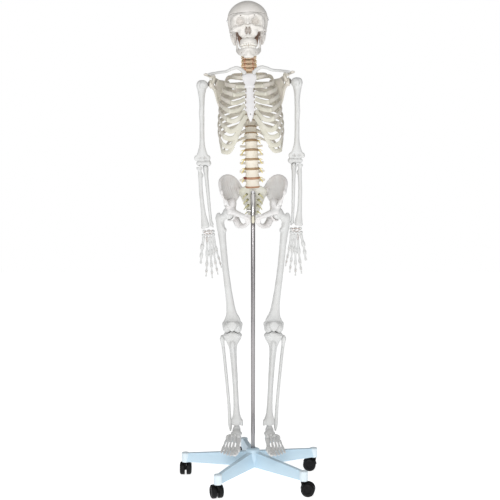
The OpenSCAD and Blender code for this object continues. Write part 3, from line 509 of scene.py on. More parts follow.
def material(name, color, rough=0.5, metal=0.0, second=None, patch=30.0, hollow=None, bump=0.0, coat=0.0,
        specular=0.5):
    """A plain procedural finish: two soft tones in patches, a painted shade in hollows and a fine grain."""
    mat = bpy.data.materials.new(name)
    mat.use_nodes = True
    nodes, links = mat.node_tree.nodes, mat.node_tree.links
    shader = set_inputs(nodes["Principled BSDF"], Roughness=rough, Metallic=metal, Coat_Weight=coat,
        Base_Color=(*color, 1), Specular_IOR_Level=specular)
    place = nodes.new("ShaderNodeTexCoord")

    def noise(scale, detail):
        made = set_inputs(nodes.new("ShaderNodeTexNoise"), Scale=scale, Detail=detail)
        links.new(place.outputs["Object"], made.inputs["Vector"])
        return made.outputs["Fac"]

    tone = None
    if second:
        patches = noise(patch, 4)
        ramp = nodes.new("ShaderNodeValToRGB")
        for element, position, shade in zip(ramp.color_ramp.elements, (0.35, 0.65), (second, color)):
            element.position = position
            element.color = (*shade, 1)
        links.new(patches, ramp.inputs["Fac"])
        tone = ramp.outputs["Color"]
    # painted shade: the stored sunkenness darkens hollows and creases towards the painted shade colour
    if hollow:
        depth = nodes.new("ShaderNodeAttribute")
        depth.attribute_name = "hollow"
        spread = set_inputs(nodes.new("ShaderNodeMapRange"), From_Min=0.56, From_Max=0.95)
        links.new(depth.outputs["Fac"], spread.inputs["Value"])
        both = nodes.new("ShaderNodeMix")
        both.data_type = "RGBA"
        links.new(spread.outputs["Result"], both.inputs["Factor"])
        links.new(tone, both.inputs["A"])
        set_inputs(both, B=(*hollow, 1))
        tone = both.outputs["Result"]
    if tone:
        links.new(tone, shader.inputs["Base Color"])
    if bump > 0:
        grain = noise(700, 3)
        raised = set_inputs(nodes.new("ShaderNodeBump"), Strength=bump, Distance=0.0006)
        links.new(grain, raised.inputs["Height"])
        links.new(raised.outputs["Normal"], shader.inputs["Normal"])
    return mat


def bone_material(name, color, rough, second, hollow, bump=0.25):
    return material(name, color, rough, second=second, hollow=hollow, bump=bump)


# the third colour of each bone is its painted shade, laid into hollows and creases
BONE = bone_material("bone", (0.665, 0.67, 0.665), 0.45, (0.62, 0.62, 0.61), (0.30, 0.275, 0.25), 0.3)
SKULL = bone_material("skull_bone", (0.74, 0.715, 0.685), 0.42, (0.69, 0.665, 0.625), (0.23, 0.145, 0.105))
CHEST = bone_material("chest_bone", (0.68, 0.635, 0.575), 0.5, (0.64, 0.62, 0.53), (0.34, 0.29, 0.22), 0.3)
STERNUM = bone_material("sternum_bone", (0.80, 0.79, 0.80), 0.45, (0.76, 0.75, 0.76), (0.4, 0.36, 0.33))
NECK = bone_material("neck_bone", (0.88, 0.68, 0.50), 0.5, (0.80, 0.58, 0.39), (0.34, 0.16, 0.07))
SPINE = bone_material("spine_bone", (0.80, 0.75, 0.66), 0.48, (0.74, 0.68, 0.57), (0.46, 0.36, 0.24))
SACRUM = bone_material("sacrum_bone", (0.72, 0.71, 0.65), 0.5, (0.66, 0.65, 0.54), (0.36, 0.32, 0.2))
HIP = bone_material("hip_bone", (0.74, 0.735, 0.73), 0.45, (0.71, 0.685, 0.675), (0.34, 0.31, 0.27), 0.3)
TEETH = material("teeth", (0.84, 0.82, 0.77), 0.3, coat=0.2)
CARTILAGE = material("cartilage", (0.64, 0.62, 0.54), 0.5, second=(0.58, 0.56, 0.47), bump=0.2)
PUBIC = material("pubic_cartilage", (0.70, 0.67, 0.55), 0.5, second=(0.64, 0.60, 0.48))
DISC = material("disc", (0.36, 0.25, 0.14), 0.5, second=(0.30, 0.19, 0.10))
RED_DISC = material("herniated_disc", (0.44, 0.25, 0.14), 0.45, second=(0.38, 0.19, 0.11))
HERNIA = material("hernia", (0.16, 0.015, 0.015), 0.35)
NERVE = material("nerve", (0.80, 0.66, 0.24), 0.45)
SACRAL_NERVE = material("sacral_nerve", (0.62, 0.58, 0.30), 0.5)
ARTERY = material("artery", (0.50, 0.17, 0.09), 0.4)
WIRE = material("wire", (0.42, 0.27, 0.20), 0.4, metal=0.4)
STEEL = material("steel", (0.50, 0.50, 0.51), 0.3, metal=1.0)
DARK_STEEL = material("dark_steel", (0.16, 0.145, 0.13), 0.35, metal=0.8)
CHROME = material("chrome", (0.50, 0.49, 0.48), 0.28, metal=1.0)
BLUE = material("blue_plastic", (0.60, 0.76, 0.87), 0.42, second=(0.58, 0.745, 0.86), patch=8, bump=0.05)
SOCKET = material("socket_plastic", (0.74, 0.84, 0.90), 0.4)
POLE = material("pole_steel", (0.36, 0.345, 0.35), 0.3, metal=1.0)
BLACK = material("black_plastic", (0.003, 0.003, 0.0033), 0.4, specular=0.2)
TYRE = material("tyre", (0.004, 0.004, 0.0045), 0.5, specular=0.2)


# ---------------------------------------------------------------- skull, in the head's frame
# where the cap is sawn off, and the thickness of the brain case
CUT = 97
WALL = 5.5


def brain_case(wall, *size):
    """The egg of the brain case, pulled in by the wall thickness."""
    clay = Clay(*size, 1.6)
    clay.ball((0, 2, 86), np.array((75, 86, 66.2)) - wall, 0)
    clay.ball((0, -34, 90), np.array((60, 50, 51)) - wall, 14)
    clay.ball((0, 44, 74), np.array((62, 45.5, 54)) - wall, 14)
    return clay.ball((0, 8, 58), np.array((68, 60, 44)) - wall, 14)


def jaw_arch(width, depth, reach, *ridge):
    """A ridge that holds teeth, round the arch of a jaw."""
    return [(width * sin(t), -50 - depth * cos(t), *ridge) for t in np.radians(np.linspace(-reach, reach,
        13))]


def sculpt_skull():
    size = (-78, -98, -22), (78, 92, CUT + 4)
    clay = brain_case(0, *size)
    for _ in clay.sides():
        # hollow at the temple behind the eye socket
        clay.ball((80, -46, 66), (20, 27, 30), 12, cut=True)
        # brow
        clay.tube([(2, -84, 82, 6), (16, -87, 86, 6, 5.5), (34, -81, 87, 6, 5), (47, -68, 82, 5.5)], 9,
            steps=8)
        # outer rim of the socket, cheekbone and arch
        clay.tube([(47, -68, 82, 5, 5.5), (49.5, -63, 70, 4, 5), (49, -62, 56, 5, 6), (46, -63, 44, 8)], 5,
            steps=8)
        clay.ball((44, -64, 40), (12, 9, 10), 6)
        clay.tube([(38, -72, 44, 7), (24, -80, 46, 6), (14, -85, 52, 5, 6)], 6)
        clay.tube([(50, -58, 40, 4, 7), (60, -44, 40, 3, 5.5), (66, -26, 41, 2.8, 4.6),
            (66.5, -8, 41, 3, 4.2), (62, 4, 40, 5, 4.4)], 3, steps=10)
        # side wall between the socket and the brain case
        clay.ball((34, -42, 56), (15, 22, 24), 8)
        # upper jaw
        clay.ball((22, -66, 30), (14, 17, 18), 7)
        # bone behind the ear
        clay.tube([(55, 22, 34, 11, 13), (53, 23, 16, 9, 11), (51, 23, 0, 5, 6)], 6)
        clay.ball((62, 6, 40), (6, 10, 6), 6)
        clay.ball((17, 3, 5), (6.5, 10.5, 5.5), 3)
        # wing plates behind the upper jaw
        clay.tube([(16, -28, 30, 3, 8), (15, -29, 6, 2.4, 6), (15, -29, -2, 2, 4)], 3, across=Y)
    # nose bridge
    clay.tube([(0, -84, 82, 7, 5), (0, -88, 70, 6, 5), (0, -93, 56, 6.5, 4)], 5)
    clay.ball((0, -70, 40), (24, 16, 26), 6)
    # ridge that holds the upper teeth
    clay.tube(jaw_arch(26, 35, 88, -5, 5.2, 9.5), 5)
    clay.ball((0, -56, 12), (24, 28, 12), 6)
    clay.ball((0, -30, 22), (19, 20, 14), 6)
    # underside at the back of the skull
    clay.ball((0, 48, 30), (46, 36, 16), 10)
    clay.tube([(0, 80, 46, 9, 7), (0, 83, 40, 6, 5)], 6)

    clay.blend(brain_case(WALL, *size), 1, cut=True)
    for _ in clay.sides():
        # bone behind the eye socket, the wings under the temple and the temple's wall
        clay.ball((28, -58, 67), (23, 24, 22), 3)
        clay.ball((26, -24, 14), (13, 12, 20), 8)
        clay.ball((29, -33, -4), (7.5, 7, 17), 5)
        clay.ball((55, -38, 67), (8, 25, 23), 3)
    for side in clay.sides():
        clay.ball((30, -92, 66), (19, 20, 15), 7, cut=True, turn=spin(side * 0.1, "Y"))
        clay.ball((28.5, -76, 66), (15, 14, 12.5), 6, cut=True)
        clay.ball((62, 10, 34), (6, 4, 4), 2, cut=True)
        clay.ball((31, -86, 41), (3, 5, 2.4), 1.5, cut=True)
        clay.ball((25, -86, 86), (2.2, 5, 2.2), 1.5, cut=True)
    # nose opening, with its middle wall
    for _ in clay.sides():
        clay.tube([(3.4, -92, 50, 3.4, 6), (6.2, -86, 34, 6.4, 12), (6.6, -86, 27, 6.6, 10)], 1.5,
            cut=True, across=Y)
        clay.ball((5.2, -76, 33), (5, 12, 14), 2, cut=True)
    clay.ball((0, -88, 17), (3, 6, 3), 3)
    # room for the top of the neck as the head turns
    clay.drum((0, 1, -21), 38, 38, 39.5, 0, 1, cut=True)
    # roof of the mouth and the hole for the spinal cord
    clay.ball((0, -48, -13), (19, 29, 18), 4, cut=True)
    clay.tube([(0, 21, -14, 15, 17), (0, 21, 40, 15, 17)], 3, cut=True, across=Y)
    clay.roughen(38, 0.35, 3)
    return clay.trim(CUT, 1)


def sculpt_cap():
    size = (-78, -90, CUT - 3), (78, 92, 154)
    clay = brain_case(0, *size).blend(brain_case(WALL, *size), 0, cut=True)
    seam = catmull([(-70, -14, CUT), (-60, -22, 124), (-34, -24, 146), (0, -22, 153), (34, -24, 146),
        (60, -22, 124), (70, -14, CUT)], 60)
    back = catmull([(0, -22, 153), (0, 20, 153), (0, 54, 140), (0, 72, 124)], 40)
    lower = catmull([(0, 72, 124), (28, 68, 118), (52, 56, 104), (60, 50, 97)], 30)
    middle, egg = np.array([0, 2, 70]), np.array([75, 86, 82.5])
    for line in (seam, back, lower, lower * np.array([-1, 1, 1])):
        k = np.arange(len(line))
        wobble = line + np.stack([np.sin(k * 2.1), np.cos(k * 1.7), np.zeros(len(line))], 1) * 1.1
        out = (wobble - middle) / np.linalg.norm(wobble - middle, axis=1, keepdims=True)
        # carry each point out to the surface of the egg
        reach = 1 / np.sqrt(((out / egg) ** 2).sum(1, keepdims=True))
        clay.tube([(*q, 1.1) for q in middle + out * (reach + 0.6)], 1.0, cut=True)
    return clay.roughen(45, 0.3, 4).trim(CUT + 0.7, -1)


# a tooth's rings from the gum to the tip: height, and shares of its width and depth
TOOTH = ((0, 0.62, 0.55), (0.25, 0.86, 0.85), (0.6, 1.0, 1.0), (0.88, 0.96, 0.8), (1.0, 0.72, 0.5))


def tooth_row(low, high, width, depth, sizes, lean_out):
    """Separate teeth along the jaw's arch, the middle one first on each side."""
    teeth = []
    step = 0.01
    c, s = np.cos(circle(14)), np.sin(circle(14))
    for side in (1, -1):
        run = 0.0
        for size, thick in sizes:
            run += size / 2
            # walk along the arch by arc length
            t = 0.0
            gone = 0.0
            while gone < run and t < 1.5:
                gone += step * hypot(width * cos(t), depth * sin(t))
                t += step
            run += size / 2
            rings = []
            for h, wide, deep in TOOTH:
                x = np.sign(c) * np.abs(c) ** 0.75 * size * 0.47 * wide
                y = np.sign(s) * np.abs(s) ** 0.75 * thick * 0.5 * deep
                z = np.full(14, low + (high - low) * h)
                rings.append(np.stack([x, y - lean_out * (h - 0.5), z], 1))
            place = move((width * sin(t) * side, -50 - depth * cos(t), 0))
            way = atan2(depth * sin(t) * side, width * cos(t))
            teeth.append(rings_to_shape(rings).at(place @ spin(way, "Z")))
    return joined(teeth).at(HEAD)


# widths and depths of the teeth, from the middle out
UPPER_TEETH = [(7.6, 5), (6.2, 4.8), (6.6, 6), (5.9, 7), (5.9, 7), (8.2, 8.5), (7.6, 8.5)]
LOWER_TEETH = [(5.0, 4.6), (5.3, 4.8), (6.0, 6), (5.9, 6.5), (6.1, 6.8), (8.4, 8), (8.0, 8)]


def sculpt_jaw():
    clay = Clay((-60, -92, -76), (60, 2, 38), 1.5)
    knots = [(40.5, -12, -27, 4.5, 9), (38, -35, -35, 4.8, 10.5), (29, -61, -43, 5.4, 12),
        (15, -77, -48, 6, 13.5), (0, -81, -50, 6.5, 14.5)]
    knots += [(-x, y, z, w, h) for x, y, z, w, h in knots[-2::-1]]
    clay.tube(knots, 3, steps=20)
    clay.ball((0, -84, -59), (12, 6, 7), 6)
    clay.ball((0, -86, -50), (7, 4, 9), 5)
    for _ in clay.sides():
        clay.ball((12, -81, -61), (7, 5, 5), 5)
        clay.slab([(41, -6, -31), (39, -34, -36), (44.5, -31, 12), (46.5, -8, 12)], PLATE, 3.2, 3)
        clay.tube([(46.5, -12, 8, 3.4, 5), (48, -13.5, 22, 4.4, 3.6)], 4, across=Y)
        clay.ball((49, -14, 29), (8.6, 4.4, 4.4), 3)
        clay.tube([(44.5, -29, 8, 2.6, 5), (46.5, -33, 22, 2.2, 4), (47, -35, 31, 1.8, 2)], 3, across=Y)
        clay.ball((42, -7, -29), (3.6, 6, 8), 4)
        clay.ball((26, -72, -46), (2.2, 3, 2.2), 1.5, cut=True)
    clay.tube(jaw_arch(24.5, 34.5, 90, -35, 4.4, 6), 4)
    return clay.roughen(30, 0.3, 5)


def fossa(p):
    """Painted brown shade deep under the cheek arches, p in the head's frame."""
    x, y, z = np.abs(p[:, 0]), p[:, 1], p[:, 2]
    away = np.sqrt(((x - 33) / 14) ** 2 + ((y + 30) / 30) ** 2 + ((z - 16) / 26) ** 2)
    return 0.9 * np.clip(1.4 - away, 0, 1)


# the skull and the jaw carry a painted brown shade deep under the cheek arches
make_bone("skull", sculpt_skull().shape(HEAD), "head", SKULL, "skull_base", "brain_case_wall",
    painted_shade_spot=(HEAD, fossa))
make_bone("skull_cap_shell", sculpt_cap().shape(HEAD), "skull_cap", SKULL, "skull_cap")
make_bone("jaw_bone", sculpt_jaw().shape(HEAD), "jaw", SKULL, "mandible", painted_shade_spot=(HEAD, fossa))
make("upper_teeth", tooth_row(-10.5, -20.6, 26, 36.6, UPPER_TEETH, 2), "head", TEETH)
make("lower_teeth", tooth_row(-31.5, -21, 24.4, 34.6, LOWER_TEETH, -1.5), "jaw", TEETH)

# hooks with studs that hold the cap down, and the jaw's hinge screws
STUD = [(0, 0), (2.4, 0), (2.6, 0.6), (2.6, 2), (2, 2.8), (0, 3)]
SCREW = [(0, 0), (1.6, 0), (1.6, 5), (3.4, 5), (3.4, 6.2), (2.4, 7), (0, 7)]
hardware = []
for s in (1, -1):
    out = spin(s * pi / 2, "Y")
    hook = [(s * x, 6, CUT - down, 1, 1.6) for x, down in ((75.2, 18), (76.2, 10), (76.4, 3))]
    hardware.append(sweep(hook, 10, across=Y).at(HEAD))
    hardware.append(lathe(STUD, 20, HEAD @ move((s * 75.6, 6, CUT - 13)) @ out))
    hardware.append(lathe(SCREW, 20, HEAD @ move((s * 58.2, -14, 30)) @ out))
make("skull_hooks", joined(hardware), "head", STEEL, ["skull_hardware"], sharp=40)


# ---------------------------------------------------------------- spine, in the leaning upper frame
# heights of the spine's middle, and how far back it lies there
SPINE_Z = [1095, 1131, 1164, 1198, 1233, 1269, 1301, 1331, 1358, 1401, 1442, 1481, 1518, 1550, 1585, 1615,
    1650]
SPINE_Y = [28, 21, 14, 10, 10, 14, 20, 28, 35, 43, 45, 41, 33, 24, 12, 6, 4]
LUMBAR_Z = [1269 - i * 34.4 for i in range(5)]
THORACIC_Z = [1535.5 - i * 16.9 - i * i * 0.39 for i in range(12)]
CERVICAL_Z = [1551.5 + i * 14.5 for i in range(5)]
AXIS_Z, ATLAS_Z = 1624, 1640


def spine_y(z):
    return float(np.interp(z, SPINE_Z, SPINE_Y))


def at_spine(z):
    tilt = atan2(spine_y(z + 15) - spine_y(z - 15), 30)
    return UPPER @ move((0, spine_y(z), z)) @ spin(-tilt, "X")


def lumbar_template():
    clay = Clay((-42, -19, -19), (42, 60, 20), 1.7)
    clay.drum((0, 0, 0), 22.5, 16, 24.5, 0.13, 0)
    for _ in clay.sides():
        clay.tube([(12, 12, 4, 4, 6), (14, 24, 3, 3.6, 6)], 3)
        clay.tube([(14, 24, 2, 3.2, 9), (8, 34, 0, 3, 9), (0, 39, -1, 3, 8)], 3)
        clay.tube([(13, 20, 2, 4), (26, 25, 2, 2.4, 4), (37, 28, 3, 2.2, 4.4)], 3)
        clay.ball((13.5, 29, 11), (5, 6, 6.5), 3)
        clay.ball((11, 33, -13), (4.5, 4.5, 7), 3)
    clay.tube([(0, 36, -1, 3, 8), (0, 48, -3, 2.4, 8), (0, 55, -4, 3.4, 8)], 3)
    clay.ball((0, 26, 0), (11, 9, 26), 1.5, cut=True)
    return clay.roughen(22, 0.3, 11).shape()


def thoracic_template():
    clay = Clay((-32, -14, -24), (32, 56, 14), 1.6)
    clay.drum((0, 0, 0), 16, 12, 18, 0.12, 0)
    for _ in clay.sides():
        clay.tube([(7.5, 9, 3, 3, 4.4), (9.5, 19, 2, 3, 4.4)], 2)
        clay.tube([(9.5, 19, 1, 2.6, 7.5), (6, 27, -1, 2.6, 8), (0, 31, -2, 2.6, 7)], 2.5)
        clay.tube([(9, 21, 1, 4, 4.4), (17, 26, 2, 3.6, 4), (24.5, 29.5, 3, 4, 4.4)], 2.5)
        clay.ball((9, 21, 8.5), (4, 2.6, 4.4), 2)
        clay.ball((8, 24, -8), (4, 2.4, 4.4), 2)
    clay.tube([(0, 28, -2, 2.6, 6.5), (0, 39, -9, 2.2, 6), (0, 48, -16, 2.6, 4.4)], 2.5)
    clay.ball((0, 19.5, 0), (7.5, 7.5, 24), 1, cut=True)
    return clay.roughen(20, 0.25, 12).shape()


def cervical_template():
    clay = Clay((-28, -9, -12), (28, 44, 11), 1.3)
    clay.drum((0, 0, 0), 11.5, 7.75, 11.5, 0.08, 0)
    for _ in clay.sides():
        clay.ball((9.5, 1, 5.5), (2.2, 5.5, 3), 2)
        # transverse process, two bars round the hole for the artery
        clay.tube([(9, -1, -1, 2.4, 2.8), (16, -3, -2, 2.2, 2.6), (21, 0, -3, 2.4, 3)], 1.5)
        clay.tube([(10, 8, 0, 2.4, 3.2), (16, 8, -1, 2.2, 2.8), (21, 3, -3, 2.2, 2.8)], 1.5)
        clay.tube([(16, 8, 5.4, 5, 4), (15, 13, -5.4, 5, 4)], 2, across=Y)
        clay.tube([(12, 12, 0, 2.2, 5), (8, 19, 0, 2, 5), (0, 24, -1, 2.2, 4.4)], 2)
        clay.tube([(0, 23, -1, 2.2, 4), (2.6, 33, -4, 2.4, 2.6), (3.6, 37, -5, 2.2)], 2)
    clay.ball((0, 14.5, 0), (9.5, 7.5, 20), 1, cut=True)
    return clay.roughen(16, 0.2, 13).shape()


def axis_shape():
    clay = Clay((-26, -10, -10), (26, 42, 24), 1.3)
    clay.drum((0, 0, 0), 10, 7.5, 12, 0.05, 0)
    clay.tube([(0, -1, 4, 5), (0, -1, 14, 4.4), (0, -1, 18, 4)], 3, across=Y)
    for _ in clay.sides():
        clay.ball((14, 3, 5), (8.5, 8.5, 4), 3)
        clay.tube([(12, 4, 0, 3, 3.4), (21, 6, -2, 2.6, 3)], 2)
        clay.tube([(12, 10, 0, 2.6, 5.4), (8, 19, 0, 2.6, 6), (0, 25, 0, 3, 6)], 2)
        clay.tube([(0, 24, 0, 3, 5), (3, 35, -3, 3, 4)], 2)
    clay.ball((0, 14.5, 2), (9, 7.5, 24), 1, cut=True)
    return clay.shape()


def atlas_shape():
    clay = Clay((-38, -14, -9), (38, 30, 9), 1.3)
    for _ in clay.sides():
        clay.tube([(0, -9.5, 0, 3.2, 4.4), (10, -8, 0, 3, 4), (17, -2, 0, 5)], 2)
        clay.ball((18, 3, 0), (7.5, 10, 6), 3)
        clay.tube([(17, 8, 0, 3, 4), (14, 18, 0, 2.8, 3.6), (0, 25, 0, 3.2, 4)], 2, steps=6)
        clay.tube([(20, 3, 0, 3.6, 4), (31, 4, -1, 3.4, 3.6)], 2)
        clay.ball((26, 4, 0), (2.2, 2.6, 10), 1, cut=True)
    return clay.shape()


def on_spine(shape, z, *scale):
    return shape.at(at_spine(z) @ Matrix.Diagonal((*scale, 1)))


lumbar, thoracic, cervical = lumbar_template(), thoracic_template(), cervical_template()
bones = [on_spine(lumbar, z, (50 + i * 1.6) / 45, 1.04, 1.13) for i, z in enumerate(LUMBAR_Z)]
make_bone("lumbar_spine", joined(bones), TRUNK, SPINE, "lumbar_vertebrae")
bones = []
for i, z in enumerate(THORACIC_Z):
    bones.append(on_spine(thoracic, z, (31 + i * 1.35) / 32, (18 + i * 1.1) / 24 * 0.5 + 0.5,
        (14 + i * 0.75) / 18))
make_bone("thoracic_spine", joined(bones), TRUNK, SPINE, "thoracic_vertebrae")
bones = [on_spine(cervical, z, (31 - i * 0.9) / 23, 1, 1) for i, z in enumerate(CERVICAL_Z)]
bones += [on_spine(axis_shape(), AXIS_Z, 1.2, 1, 1), on_spine(atlas_shape(), ATLAS_Z, 1, 1, 1)]
make_bone("neck_spine", joined(bones), TRUNK, NECK, "cervical_vertebrae")


def disc(z, w, d, h, curl=0.0):
    """A soft disc that bulges a little at its rim and curls up at its sides."""
    a = circle(40)
    flat = 1 - 0.12 * np.clip(np.sin(a), 0, 1) ** 2
    rings = []
    for k, share in ((-0.5, 0.86), (-0.42, 0.97), (-0.2, 1.03), (0.2, 1.03), (0.42, 0.97), (0.5, 0.86)):
        x, y = w / 2 * share * np.cos(a), d / 2 * share * flat * np.sin(a)
        rings.append(np.stack([x, y, k * h + curl * np.cos(a) ** 2], 1))
    return rings_to_shape(rings).at(at_spine(z))


def between(a, b):
    return (a + b) / 2


discs = [disc(between(CERVICAL_Z[i], CERVICAL_Z[i + 1]) - 1, 30 - i, 16.4, 4.4, 3) for i in range(4)]
discs += [disc(between(CERVICAL_Z[4], AXIS_Z) - 1, 24, 16, 4, 2.5),
    disc(between(CERVICAL_Z[0], THORACIC_Z[0]) - 1, 31, 17, 4.4, 3)]
discs += [disc(between(THORACIC_Z[i], THORACIC_Z[i + 1]), 32 + i * 1.3, 18.5 + i, 3.6) for i in range(11)]
discs += [disc(between(THORACIC_Z[11], LUMBAR_Z[0]) + 1, 49, 32, 8)]
discs += [disc(between(LUMBAR_Z[i], LUMBAR_Z[i + 1]), 52 + i * 1.5, 34, 10.4) for i in range(3)]
make("spine_discs", joined(discs), TRUNK, DISC, ["intervertebral_discs"])
slipped_z = between(LUMBAR_Z[3], LUMBAR_Z[4])
worn = joined([disc(slipped_z, 56, 34.5, 10), disc(LUMBAR_Z[4] - 16.6, 54, 32, 8)])
make("worn_discs", worn, TRUNK, RED_DISC, ["herniated_disc"])
clay = Clay((-40, -16, -10), (-16, 10, 10), 1.0)
clay.ball((-26, -5, 0), (7, 6.5, 4.6), 2)
clay.ball((-30, -6, 2), (4, 4, 3.6), 2)
clay.ball((-25, -10, -1), (4, 3.4, 3.2), 2)
make("hernia", clay.shape(at_spine(slipped_z)), TRUNK, HERNIA)


def nerve(z, start, reach, drop, r, forks=2):
    """A nerve root on both sides of the spine, with a small branch at its end."""
    # shares of the start and the reach, steps back and up, and share of the thickness
    root = [(0.55, 0, 14, 1, 1.1), (1, 0, 9, 0, 1.35), (1, 0.5, 4, -drop * 0.3, 1), (1, 1, -1, -drop, 0.7)]
    branch = [(1, 0.3, 6, -drop * 0.12, 0.8), (1, 0.75, 6, -drop * 0.1, 0.6),
        (1, 1.05, 3, -drop * 0.3, 0.45)]
    shapes = []
    for s in (1, -1):
        for rows, count in ((root, 12), (branch, 8))[:forks]:
            path = [(s * (start * a + reach * b), spine_y(z) + dy, z + dz, r * k, r * k)
                for a, b, dy, dz, k in rows]
            shapes.append(sweep(catmull(path, count), 8, across=(0, 1, 0.2)).at(UPPER))
    return joined(shapes)


nerves = [nerve(z - 7.2, 20, 9, 6, 1.7, 1) for z in CERVICAL_Z]
nerves += [nerve(z - 14.5, 21, 18, 20, 2.3) for z in LUMBAR_Z[:4]]
nerves += [nerve(LUMBAR_Z[4] - 16, 22, 15, 14, 2.3), nerve(THORACIC_Z[11] - 13, 20, 14, 14, 2.0),
    nerve(THORACIC_Z[10] - 12, 18, 8, 8, 1.8, 1)]
make("nerve_roots", joined(nerves), TRUNK, NERVE, ["spinal_nerves"])

arteries = []
for s in (1, -1):
    way = []
    for k, z in enumerate(range(1545, 1632, 12)):
        way.append((s * (14.5 + (0.8 if k % 2 else -0.4)), spine_y(z) - 2.5, z, 1.7, 1.7))
    arteries.append(sweep(catmull(way, 30), 8, across=Y).at(UPPER))
make("neck_arteries", joined(arteries), TRUNK, ARTERY, ["vertebral_arteries"])

# the rod runs down the canal, behind the middle of the spine
rod = [(0, spine_y(z) + float(np.interp(z, (1116, 1300, 1535, 1622), (24, 22, 17, 16))), z, 3.5)
    for z in range(1116, 1623, 23)]
make("inner_rod", sweep(rod, 14, across=Y, round_ends=0.2).at(UPPER), TRUNK, STEEL, ["spine_rod"])


def sacral_hole(s, i):
    """The middle of one of the sacrum's front holes."""
    return s * (23 - i * 2.6), 30 + i * 9, 1087 - i * 21


def sculpt_sacrum():
    clay = Clay((-56, 8, 956), (56, 80, 1122), 1.8)
    stations = [(0, 29, 1109, 40, 13), (0, 32, 1100, 52, 14), (0, 39, 1084, 50, 13),
        (0, 50, 1062, 41, 10.5), (0, 57, 1038, 30, 8.5), (0, 58, 1014, 21, 7), (0, 54, 996, 12, 5.5),
        (0, 47, 978, 7.5, 4.5), (0, 39, 966, 4.5, 3.5)]
    clay.tube(stations, 3, across=Y, steps=20)
    clay.drum((0, 26, 1110), 25, 16, 10, 0, 5)
    for s in (1, -1):
        clay.ball((s * 37, 40, 1098), (15, 17, 14), 7)
        for i in range(4):
            clay.ball(sacral_hole(s, i), (4.6, 9, 4), 2.5, cut=True)
            clay.ball((s * (20 - i * 2.2), 66 + i * 1.5, 1086 - i * 21), (3.6, 8, 3.4), 2, cut=True)
    for i in range(4):
        clay.tube([(0, 50 + i * 6.5, 1098 - i * 22, 2.4, 5), (0, 60 + i * 4.6, 1094 - i * 22, 2.6, 5)], 4)
        # low ridges across the front, where the sacrum's bones have grown together
        clay.tube([(-16 + i * 2, 20.5 + i * 9.5, 1076 - i * 21, 1.6),
            (16 - i * 2, 20.5 + i * 9.5, 1076 - i * 21, 1.6)], 3)
    return clay.roughen(30, 0.4, 21)


make_bone("sacrum_bone", sculpt_sacrum().shape(), TRUNK, SACRUM, "sacrum")
roots = []
for s, i in [(s, i) for s in (1, -1) for i in range(4)]:
    x, y, z = sacral_hole(s, i)
    way = [(x, y + 2, z, 2.2), (x + s * 3, y - 8, z - 3, 2.3), (x + s * 11, y - 10, z - 9, 2),
        (s * (38 - i * 2), y - 2, z - 17, 1.6)]
    roots.append(sweep(catmull(stations_of(way), 12), 8, across=(0, 1, 0.3)))
make("sacral_nerves", joined(roots), TRUNK, SACRAL_NERVE)


# ---------------------------------------------------------------- chest, in the upper frame
# half widths, depths at the back and front ends of the twelve ribs, and their half heights
RIB_HALF_W = [65, 90, 100, 107, 112, 116, 119, 121, 121, 117, 108, 84]
RIB_BACK_Y = [52, 66, 76, 83, 87, 89, 90, 89, 86, 80, 72, 60]
RIB_FRONT = [(33, -40, 1515), (52, -64, 1481), (62, -80, 1451), (70, -91, 1421), (78, -98, 1391),
    (86, -101, 1361), (94, -100, 1331), (101, -93, 1302), (106, -82, 1275), (109, -66, 1252),
    (108, 4, 1246), (83, 46, 1264)]
RIB_TALL = [6.2, 7.6, 7.6, 7.4, 7.6, 7.8, 8, 8, 7.8, 7.2, 6, 4.6]
# each cartilage's way on from its rib, and its half height along the way
CARTILAGE_WAY = [[(28, -40, 1518)], [(35, -60, 1481), (19.5, -50.5, 1480)],
    [(40, -74, 1451), (18.5, -59, 1457)], [(46, -86, 1421), (20, -67.5, 1434)],
    [(54, -95, 1391), (36, -88, 1397), (21, -75, 1413)], [(64, -102, 1353), (42, -98, 1362),
    (20, -83, 1389)], [(72, -104, 1317), (44, -102, 1331), (15, -89, 1371)],
    [(80, -102, 1291), (58, -102, 1297), (36, -98, 1333)], [(89, -95, 1263), (69, -99, 1268),
    (51, -101, 1300)], [(98, -82, 1243), (83, -90, 1243), (66, -97, 1263)]]
CARTILAGE_TALL = [5.5, 6.8, 7.2, 7.6, 8, 8.6, 9.2, 9.2, 8.6, 7.8]
# the last two ribs have no cartilage
LOOSE = 10


def rib_path(i):
    z0 = THORACIC_Z[i] + 2
    y0 = spine_y(z0) + 11 + i * 0.4
    a, yb, f = RIB_HALF_W[i], RIB_BACK_Y[i], RIB_FRONT[i]
    drop = z0 - f[2]
    if i >= LOOSE:
        return [(19.5, y0, z0), (a * 0.38, yb, z0 - drop * 0.14), (a * 0.78, yb - 4, z0 - drop * 0.5), f]
    rise = (3, 17, 10, 4)[i] if i < 4 else 0
    return [(17.6 + i * 0.25, y0, z0), (a * 0.46, yb, z0 - drop * 0.07 + rise * 0.6),
        (a * 0.86, yb * 0.56, z0 - drop * 0.27 + rise), (a, mix(yb, f[1], 0.5), z0 - drop * 0.5),
        (mix(a, f[0], 0.42), mix(yb, f[1], 0.84), z0 - drop * 0.8), f]


def rib(i):
    n = 44 if i < LOOSE else 26
    stations = []
    for k, p in enumerate(catmull(rib_path(i), n)):
        t = k / n
        grow = min(1, t * 7)
        knob = 1.5 * exp(-(t / 0.03) ** 2) + 0.8 * exp(-((t - 0.12) / 0.03) ** 2)
        tall = mix(3.8, RIB_TALL[i], grow) + knob
        if i >= LOOSE:
            tall *= 1 - 0.45 * max(0, t - 0.6) / 0.4
        else:
            tall *= 1 + 0.22 * max(0, t - 0.85) / 0.15
        stations.append((*p, mix(3.4, 2.9, grow) + knob * 0.6, tall))
    return sweep(stations, 14, round_ends=0.5)


